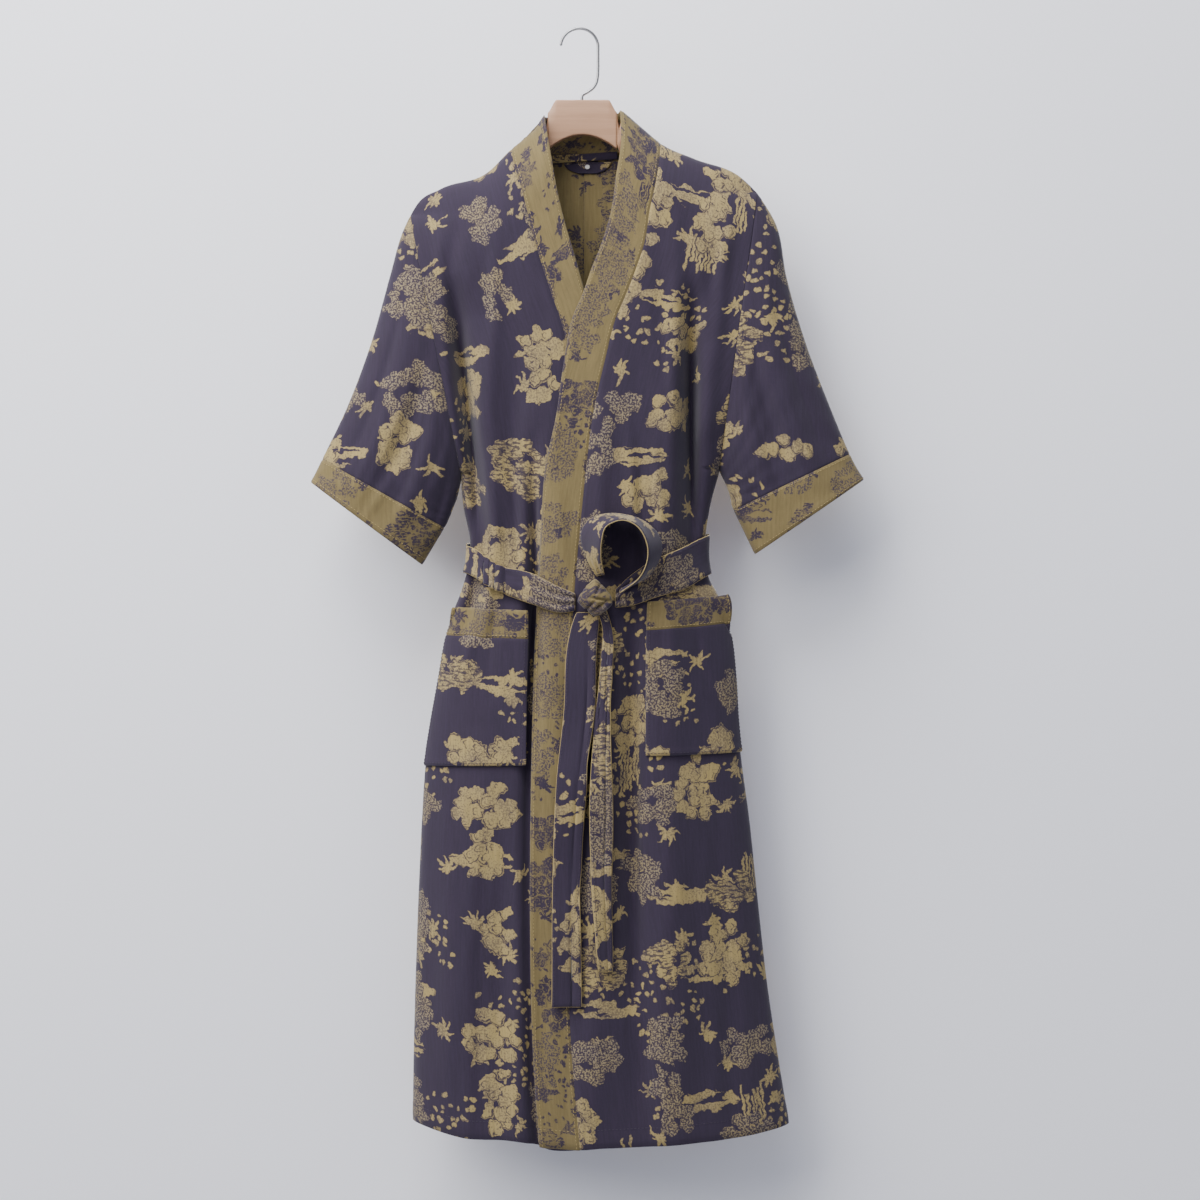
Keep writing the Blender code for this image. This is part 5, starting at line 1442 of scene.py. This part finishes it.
def make_bow():
    """The bow's loop, drawn smoothly through the points of its nearer and farther edge."""
    base = float(outer_front_y(np.array(40 * MM), np.array(-600 * MM), creased=0.0)) + BOW_SEAT
    rows = []
    for near_x, near_z, near_y, far_x, far_z, far_y in BOW:
        near = np.array((near_x, base / MM - near_y, near_z)) * MM
        far = np.array((far_x, base / MM - far_y, far_z)) * MM
        rows.append([blend(near, far, j / 3) for j in range(4)])
    coarse = np.array(rows)
    fine = []
    for k in range(len(coarse) - 1):
        before, after = coarse[max(k - 1, 0)], coarse[min(k + 2, len(coarse) - 1)]
        for t in np.arange(9) / 9:
            fine.append(catmull(before, coarse[k], coarse[k + 1], after, t))
    fine = np.array(fine + [coarse[-1]])
    levels = np.linspace(0, 3, BELT_COLUMNS)
    at = np.minimum(levels.astype(int), 2)
    share = (levels - at)[None, :, None]
    grid = fine[:, at] * (1 - share) + fine[:, at + 1] * share
    normals = grid_normals(grid, (1, 0, 0))
    middle = grid.mean(axis=(0, 1))
    if ((grid - middle) * normals).sum() < 0:
        normals = -normals
    t = np.linspace(0, 1, len(grid))[:, None]
    across = np.linspace(-1, 1, BELT_COLUMNS)[None, :]
    ends = smooth_step(1 - t * 6) + smooth_step((t - 0.85) / 0.15)
    pleat = np.cos(across * 8) * 1.1 * MM * ends * (1 - abs(across) ** 4)
    slack = 0.5 * MM * np.sin(t * 19 + across * 2)
    grid = grid + normals * (pleat + slack)[:, :, None]
    normals = grid_normals(grid, normals[len(grid) // 2, BELT_COLUMNS // 2])
    return belt_piece("belt_bow", grid, normals)


def catmull(a, b, c, d, t):
    """A point of the smooth curve from b to c, whose neighbours are a and d."""
    return 0.5 * (2 * b + (c - a) * t + (2 * a - 5 * b + 4 * c - d) * t * t
                  + (3 * b - a - 3 * c + d) * t ** 3)


# Outline of the knot: degrees from upright towards the wearer's left, and radius
KNOT_OUTLINE = [(0, 21.5), (22, 17.5), (55, 15.5), (98, 20.0), (125, 17.5), (150, 16.5), (180, 19.0),
                (215, 15.5), (240, 17.0), (262, 20.0), (300, 16.0), (338, 17.5), (360, 21.5)]
KNOT_CREASES = [  # line across the knot's front: x and z in shares, turn, width, rise in millimetres
    (0.35, -0.05, 1.40, 0.07, -3.4), (-0.30, -0.45, -0.80, 0.09, -2.6), (-0.42, 0.28, 0.55, 0.08, -2.0),
    (0.20, 0.55, -0.45, 0.08, -1.8), (0.30, -0.48, -0.95, 0.10, -3.2), (0.0, 0.1, 0.75, 0.30, 2.0),
    (0.55, -0.62, -0.9, 0.16, 2.4)]


def make_knot():
    """The knot: a pulled-tight lump of belt with its wraps creasing round it."""
    rows, columns = 84, 112
    lean = np.linspace(-1, 1, rows)[:, None] * math.pi / 2
    turn = 2 * math.pi * np.arange(columns)[None, :] / columns
    x = np.cos(lean) * np.cos(turn)
    depth = np.cos(lean) * np.sin(turn)
    z = np.sin(lean) + 0 * turn
    around = np.mod(np.degrees(np.arctan2(x, z)), 360)
    corner = np.interp(around, *np.array(KNOT_OUTLINE).T) * MM / KNOT_SIZE[0]
    waist = blend(1.0, corner, smooth_step(np.hypot(x, z) * 1.4))
    depth = np.sign(depth) * abs(depth) ** 0.8
    swell = np.zeros_like(x)
    for at_x, at_z, slant, width, rise in KNOT_CREASES:
        away = (x - at_x) * math.cos(slant) + (z - at_z) * math.sin(slant)
        along = (z - at_z) * math.cos(slant) - (x - at_x) * math.sin(slant)
        swell += rise * MM * np.exp(-(away / width) ** 2) * np.exp(-(along / 0.55) ** 2)
    swell *= smooth_step(np.cos(lean) * 2)
    centre_y = float(outer_front_y(np.array(KNOT_AT[0]), np.array(KNOT_AT[1]), True, creased=0.0)
                     ) - WALL / 2 - BELT_GAP - KNOT_SIZE[1]
    direction = unit(np.stack([x, depth, z], axis=2))
    grid = np.stack([KNOT_AT[0] + KNOT_SIZE[0] * x * waist, centre_y + KNOT_SIZE[1] * depth,
                     KNOT_AT[1] + KNOT_SIZE[2] * z * waist], axis=2) + direction * swell[:, :, None]
    grid[0] = grid[0].mean(axis=0)
    grid[-1] = grid[-1].mean(axis=0)
    faces = quads(index_grid(rows, columns, closed=True))
    places = cut_places(grid, CUT_FROM["belt_knot"], closed=True)
    mesh = bpy.data.meshes.new("look_belt_knot")
    mesh.from_pydata(grid.reshape(-1, 3), [], faces)
    write_cut(mesh, places, quads(index_grid(*places.shape[:2])))
    for name in ("Gold cloth", "Dark cloth"):
        mesh.materials.append(find_material(name))
    centres = grid.reshape(-1, 3)[faces].mean(axis=1)
    tucked = (centres[:, 0] - KNOT_AT[0] - (centres[:, 2] - KNOT_AT[1]) * 0.5 > 13 * MM) & (
        centres[:, 2] - KNOT_AT[1] < -5 * MM)
    mesh.polygons.foreach_set("material_index", tucked.astype(np.int32))
    builder = bmesh.new()
    builder.from_mesh(mesh)
    bmesh.ops.remove_doubles(builder, verts=builder.verts, dist=1e-6)
    finish_mesh(builder, mesh)
    mesh.shade_smooth()
    made = add_object("look_belt_knot", mesh)
    place_piece(made, "belt_cloth", "belt_knot")


class MakeBelt(RobeOperator):
    """Make the tied belt: its stretches round the waist, bow, tails and knot"""
    bl_idname = "robe.make_belt"
    bl_label = "Belt"

    def execute(self, context):
        lines = []
        for side, table in (("right", BELT_RIGHT), ("left", BELT_LEFT)):
            grid = belt_grid(table, side, BELT_ENDS[side], "front")
            lines += lay_belt("belt_front_" + side, grid, -1, (0,))
        back = np.concatenate([belt_grid(BELT_BACK, "right", MIDDLE, "back"),
                               belt_grid(BELT_BACK, "left", MIDDLE, "back")[-2::-1]])
        lines += lay_belt("belt_back", back, 1, (0, -1), pleated=False)
        for name, table, wave, twist in (("belt_tail_long", TAIL_LONG, 1.2 * MM, 1.0 * MM),
                                         ("belt_tail_short", TAIL_SHORT, 1.0 * MM, 2.4 * MM)):
            grid = tail_grid(table, wave, twist)
            normals = grid_normals(grid, (0, -1, 0))
            grid = laid_out(grid, normals, BELT_WALL, BELT_GAP)
            lines += belt_piece(name, grid, normals)
        lines += make_bow()
        make_knot()
        sew("look_belt_stitches", lines, find_material("Dark thread"), "belt_cloth")
        return {"FINISHED"}


# Inside the back neck

class MakeNeckDetails(RobeOperator):
    """Make the hanging loop, the half-moon patch and its button"""
    bl_idname = "robe.make_neck_details"
    bl_label = "Neck details"

    def execute(self, context):
        dark, gold = find_material("Dark cloth"), find_material("Gold cloth")
        gap = WALL + SEAM_GAP
        share = np.linspace(0, 1, 22)[:, None]
        across = np.linspace(-1, 1, 41)[None, :]
        x = PATCH_AT[0] + PATCH_SIZE[0] * np.sqrt(1 - (share * 0.93) ** 2) * across
        height = PATCH_AT[1] - PATCH_SIZE[1] * share + 0 * across
        grid = np.stack([x, back_y(x, height), height], axis=2)
        normals = grid_normals(grid, (0, -1, 0))
        grid = grid + normals * gap
        half = wall_thickness(grid, PATCH_WALL)
        places = cut_places(grid, CUT_FROM["neck_patch"])
        patch = cloth_wall("look_neck_patch", grid, normals, places, half, dark, gold, rim=dark)
        place_piece(patch, "gold_cloth", "neck_patch")
        declare_cut(grid)
        rows = [line_at(grid, normals, half, row=-1, inside=1.5 * MM),
                line_at(grid, normals, half, row=0, inside=1.5 * MM)]
        sew("look_patch_stitches", rows, find_material("Dark thread"), "gold_cloth")

        along = np.linspace(0, 1, 60)[:, None]
        drop = np.linspace(4, -4, 9)[None, :] * MM
        (start_x, start_z), (end_x, end_z) = LOOP_ENDS
        x = blend(start_x, end_x, along) + 0 * drop
        height = blend(start_z, end_z, along) + drop
        grid = np.stack([x, back_y(x, height), height], axis=2)
        normals = grid_normals(grid, (0, -1, 0))
        slack = LOOP_SLACK * np.sin(math.pi * along[:, :, None])
        grid = grid + normals * (gap + LOOP_CLEAR + slack)
        half = wall_thickness(grid, LOOP_WALL)
        places = cut_places(grid, CUT_FROM["hang_loop"])
        loop = cloth_wall("look_hang_loop", grid, normals, places, half, dark, dark)
        place_piece(loop, "belt_cloth", "hang_loop")
        declare_cut(grid)

        # The button: a small dished disc with softened edges
        builder = bmesh.new()
        bmesh.ops.create_cone(builder, cap_ends=True, segments=40, radius1=BUTTON_RADII[0],
                              radius2=BUTTON_RADII[1], depth=BUTTON_THICK)
        caps = [f for f in builder.faces if len(f.verts) > 4]
        front = max(caps, key=lambda f: f.calc_center_median().z)
        bmesh.ops.inset_region(builder, faces=[front], thickness=0.5 * MM, depth=-0.25 * MM)
        bmesh.ops.bevel(builder, geom=[e for e in builder.edges if e.calc_face_angle(0) > 0.6],
                        offset=0.12 * MM, segments=2, affect="EDGES")
        spot = np.array((BUTTON_AT[0], 0.0, BUTTON_AT[1]))
        spot[1] = back_y(spot[0], spot[2]) - (gap + PATCH_WALL / 2 + SEAM_GAP + 0.9 * MM)
        for vert in builder.verts:
            px, py, pz = vert.co
            vert.co = Vector((spot[0] + px, spot[1] - pz, spot[2] + py))
        mesh = bpy.data.meshes.new("look_neck_button")
        finish_mesh(builder, mesh)
        mesh.materials.append(find_material("Pearl"))
        button = add_object("look_neck_button", mesh)
        place_piece(button, "button", "neck_button")
        return {"FINISHED"}


# Hanger

def plate_section(x):
    """Upper and lower edge of the hanger's plate."""
    left, right = PLATE_ENDS
    across = abs(x - (left + right) / 2) / (right - left) * 2
    top = PLATE_TOP - PLATE_SLOPE * smooth_step((across - 0.74) / 0.26)
    return top, PLATE_LOW - PLATE_BELLY * across ** 2


def arm_section(x):
    """Upper and lower edge of the hanger's arms, under the shoulder line."""
    side = "right" if x < MIDDLE else "left"
    near = NECK_RIGHT if side == "right" else NECK_LEFT
    share = abs(x - near) / abs(TIP[side][0] - near)
    slope = abs(shoulder_height(x + MM) - shoulder_height(x - MM)) / (2 * MM)
    top = SHOULDER.at(x, "height") - WOOD_CLEAR * math.sqrt(1 + slope * slope)
    top -= ARM_DROP * (smooth_step((share - 0.8) / 0.2) + smooth_step((0.15 - share) / 0.15))
    return top, top - blend(*ARM_TALL, share)


def wood_outline(half, top, low, shoulder):
    """A rounded section of the wood, from its ridge round to its lower edge and back."""
    points = []
    for turn in np.linspace(0, math.pi / 2, 7):
        points.append((half * math.sin(turn) ** 0.9, top - shoulder * (1 - math.cos(turn))))
    points.append((half, blend(top - shoulder, low + LOW_ROUND, 0.5)))
    for turn in np.linspace(0, math.pi / 2, 5):
        points.append((half - LOW_ROUND * (1 - math.cos(turn)),
                       low + LOW_ROUND - LOW_ROUND * math.sin(turn)))
    return points + [(-y, z) for y, z in reversed(points[1:] if points[0][0] == 0 else points)]


def skin(name, loops, material):
    """A closed smooth mesh over a row of loops of points, capped at both ends."""
    builder = bmesh.new()
    rings = [[builder.verts.new(point) for point in loop] for loop in loops]
    count = len(rings[0])
    for a, b in zip(rings, rings[1:]):
        for k in range(count):
            m = (k + 1) % count
            builder.faces.new((a[k], a[m], b[m], b[k]))
    builder.faces.new(rings[0])
    builder.faces.new(rings[-1])
    mesh = bpy.data.meshes.new(name)
    finish_mesh(builder, mesh)
    mesh.materials.append(material)
    mesh.shade_smooth()
    return mesh


def tube(name, points, radius, material):
    """A round wire in the middle plane with rounded ends."""
    along = unit(np.gradient(points, axis=0))
    side = np.array((0.0, 1.0, 0.0))
    rounding = [(s, math.sqrt(1 - s * s) + 0.02) for s in (1.0, 0.8, 0.45)]
    rings = [(points[0] - along[0] * radius * s, along[0], size) for s, size in rounding]
    rings += [(point, direction, 1.0) for point, direction in zip(points, along)]
    rings += [(points[-1] + along[-1] * radius * s, along[-1], size) for s, size in reversed(rounding)]
    turns = 2 * math.pi * np.arange(WIRE_SIDES) / WIRE_SIDES
    loops = []
    for centre, direction, size in rings:
        across = np.cross(direction, side)
        loops.append([centre + radius * size * (math.cos(t) * across + math.sin(t) * side)
                      for t in turns])
    return add_object(name, skin(name, loops, material))


class MakeHanger(RobeOperator):
    """Make the wooden hanger and its wire hook"""
    bl_idname = "robe.make_hanger"
    bl_label = "Hanger"

    def execute(self, context):
        left, right = PLATE_ENDS
        xs = np.concatenate([
            np.linspace(ARM_ENDS[0], left - 0.4 * MM, 70),
            left + np.array((0.1, 0.5, 1.2, 2.2)) * MM, np.linspace(left + 3 * MM, right - 3 * MM, 60),
            right - np.array((2.2, 1.2, 0.5, 0.1)) * MM,
            np.linspace(right + 0.4 * MM, ARM_ENDS[1], 70)])
        loops = []
        for x in xs:
            plate = left < x < right
            top, low = plate_section(x) if plate else arm_section(x)
            half, shoulder = (PLATE_HALF, PLATE_ROUND) if plate else (ARM_HALF, ARM_ROUND)
            end = min(abs(x - ARM_ENDS[0]), abs(x - ARM_ENDS[1]))
            taper = math.sqrt(1 - (1 - min(end / END_ROUND, 1.0)) ** 2) * 0.6 + 0.4
            edge = min(abs(x - left), abs(x - right)) if plate else 1.0
            soft = 1.6 * MM * (1 - math.sqrt(1 - (1 - min(edge / PLATE_ROUND, 1.0)) ** 2))
            outline = wood_outline(half * taper - soft, top - soft, low + soft, shoulder)
            loops.append([(x, y, z) for y, z in outline])
        mesh = skin("look_hanger_wood", loops, find_material("Beech"))
        mesh.set_sharp_from_angle(angle=math.radians(40))
        wood = add_object("look_hanger_wood", mesh)
        place_piece(wood, "hanger_wood", "hanger_wood")

        centre = WIRE - HOOK_RADIUS
        turns = np.radians(np.linspace(172, 0, 44))
        path = [(HOOK_RADIUS * math.cos(t), centre + HOOK_RADIUS * math.sin(t)) for t in turns]
        bend = np.array(HOOK_BEND) * MM
        for k in range(1, len(bend) - 1):
            before, after = bend[k - 1], bend[min(k + 2, len(bend) - 1)]
            for t in (0, 0.25, 0.5, 0.75):
                path.append(tuple(catmull(before, bend[k], bend[k + 1], after, t)))
        path.append(tuple(bend[-1]))
        points = np.array([(x, 0.0, z) for x, z in path])
        made = tube("look_hanger_hook", points, WIRE, find_material("Steel wire"))
        place_piece(made, "hook_steel", "hanger_hook")
        return {"FINISHED"}


# Stage

class MakeStage(RobeOperator):
    """Make the floor, the wall, the soft lights and the camera"""
    bl_idname = "robe.make_stage"
    bl_label = "Stage"

    def execute(self, context):
        stage = context.scene.robe_stage
        material, tree, shader = new_material("Pale plaster", 0.9, Specular_IOR_Level=0.1)
        shader.inputs["Base Color"].default_value = (*stage.wall, 1.0)
        clear = add_node(tree, "ShaderNodeBsdfTransparent")
        behind = add_node(tree, "ShaderNodeNewGeometry")
        mixed = add_node(tree, "ShaderNodeMixShader")
        tree.links.new(behind.outputs["Backfacing"], mixed.inputs[0])
        tree.links.new(shader.outputs[0], mixed.inputs[1])
        tree.links.new(clear.outputs[0], mixed.inputs[2])
        tree.links.new(mixed.outputs[0], tree.nodes["Material Output"].inputs[0])
        corners = ((-3, -2.2), (3, -2.2), (3, 2.5), (-3, 2.5))
        wall = self.plane("wall", [(x, WALL_PLACE, z) for x, z in corners], material)
        wall.visible_shadow = False
        corners = ((-4, -4), (4, -4), (4, 4), (-4, 4))
        floor = self.plane("floor", [(x, y, FLOOR_HEIGHT) for x, y in corners], material)
        for piece in (wall, floor):
            piece.visible_diffuse = False

        world = bpy.data.worlds.new("Studio")
        context.scene.world = world
        world.use_nodes = True
        background = world.node_tree.nodes["Background"]
        background.inputs["Color"].default_value = (0.80, 0.825, 0.96, 1.0)
        background.inputs["Strength"].default_value = 0.54
        self.light("key", (-2.6, -2.1, 1.5), (0.0, 0.0, -0.6), 3.8, stage.key, (0.985, 0.97, 0.965))
        self.light("high", (-0.5, -1.0, 1.6), (-0.1, 0.0, 0.0), 1.4, stage.high, (0.97, 0.975, 1.0))
        self.light("fill", (2.2, -2.2, -0.3), (0.0, 0.0, -0.7), 2.0, stage.fill, (0.92, 0.95, 1.0))
        self.light("back", (0.6, 2.6, 0.6), (0.0, 0.0, -0.6), 2.0, stage.key * 0.8, (1.0, 1.0, 1.0))

        data = bpy.data.cameras.new("camera")
        data.sensor_width = 36.0
        data.lens = 36.0 * stage.camera / stage.width
        data.clip_end = 30.0
        camera = add_object("camera", data)
        camera.location = (CAMERA_X, -stage.camera, CAMERA_HEIGHT)
        camera.rotation_euler = (math.radians(90), 0.0, 0.0)
        context.scene.camera = camera
        return {"FINISHED"}

    def plane(self, name, corners, material):
        mesh = bpy.data.meshes.new(name)
        mesh.from_pydata(corners, [], [(0, 1, 2, 3)])
        mesh.materials.append(material)
        return add_object(name, mesh)

    def light(self, name, place, target, size, power, colour):
        data = bpy.data.lights.new(name, "AREA")
        data.shape = "DISK"
        data.size = size
        data.energy = power
        data.color = colour
        made = add_object(name, data)
        made.location = place
        made.rotation_euler = (Vector(target) - Vector(place)).to_track_quat("-Z", "Y").to_euler()


class RobePanel(bpy.types.Panel):
    """Lists the operators that make the robe"""
    bl_idname = "VIEW3D_PT_robe"
    bl_label = "Kimono robe"
    bl_space_type = "VIEW_3D"
    bl_region_type = "UI"
    bl_category = "Robe"

    def draw(self, context):
        for operator in OPERATORS:
            self.layout.operator(operator.bl_idname)


OPERATORS = (MakeFronts, MakeBacks, MakeSleeves, MakePockets, MakeBelt, MakeNeckDetails, MakeHanger,
             MakeStage)
GROUPS = {"robe_cloth": ClothProperties, "robe_hanger": HangerProperties, "robe_stage": StageProperties}


def register():
    for name, group in GROUPS.items():
        bpy.utils.register_class(group)
        setattr(bpy.types.Scene, name, bpy.props.PointerProperty(type=group))
    for kind in (*OPERATORS, RobePanel):
        bpy.utils.register_class(kind)


def unregister():
    for kind in (RobePanel, *reversed(OPERATORS)):
        bpy.utils.unregister_class(kind)
    for name, group in GROUPS.items():
        delattr(bpy.types.Scene, name)
        bpy.utils.unregister_class(group)


def main():
    register()
    bpy.ops.robe.make_fronts()
    bpy.ops.robe.make_backs()
    bpy.ops.robe.make_sleeves()
    bpy.ops.robe.make_pockets()
    bpy.ops.robe.make_belt()
    bpy.ops.robe.make_neck_details()
    bpy.ops.robe.make_hanger()
    bpy.ops.robe.make_stage()


if __name__ == "__main__":
    main()
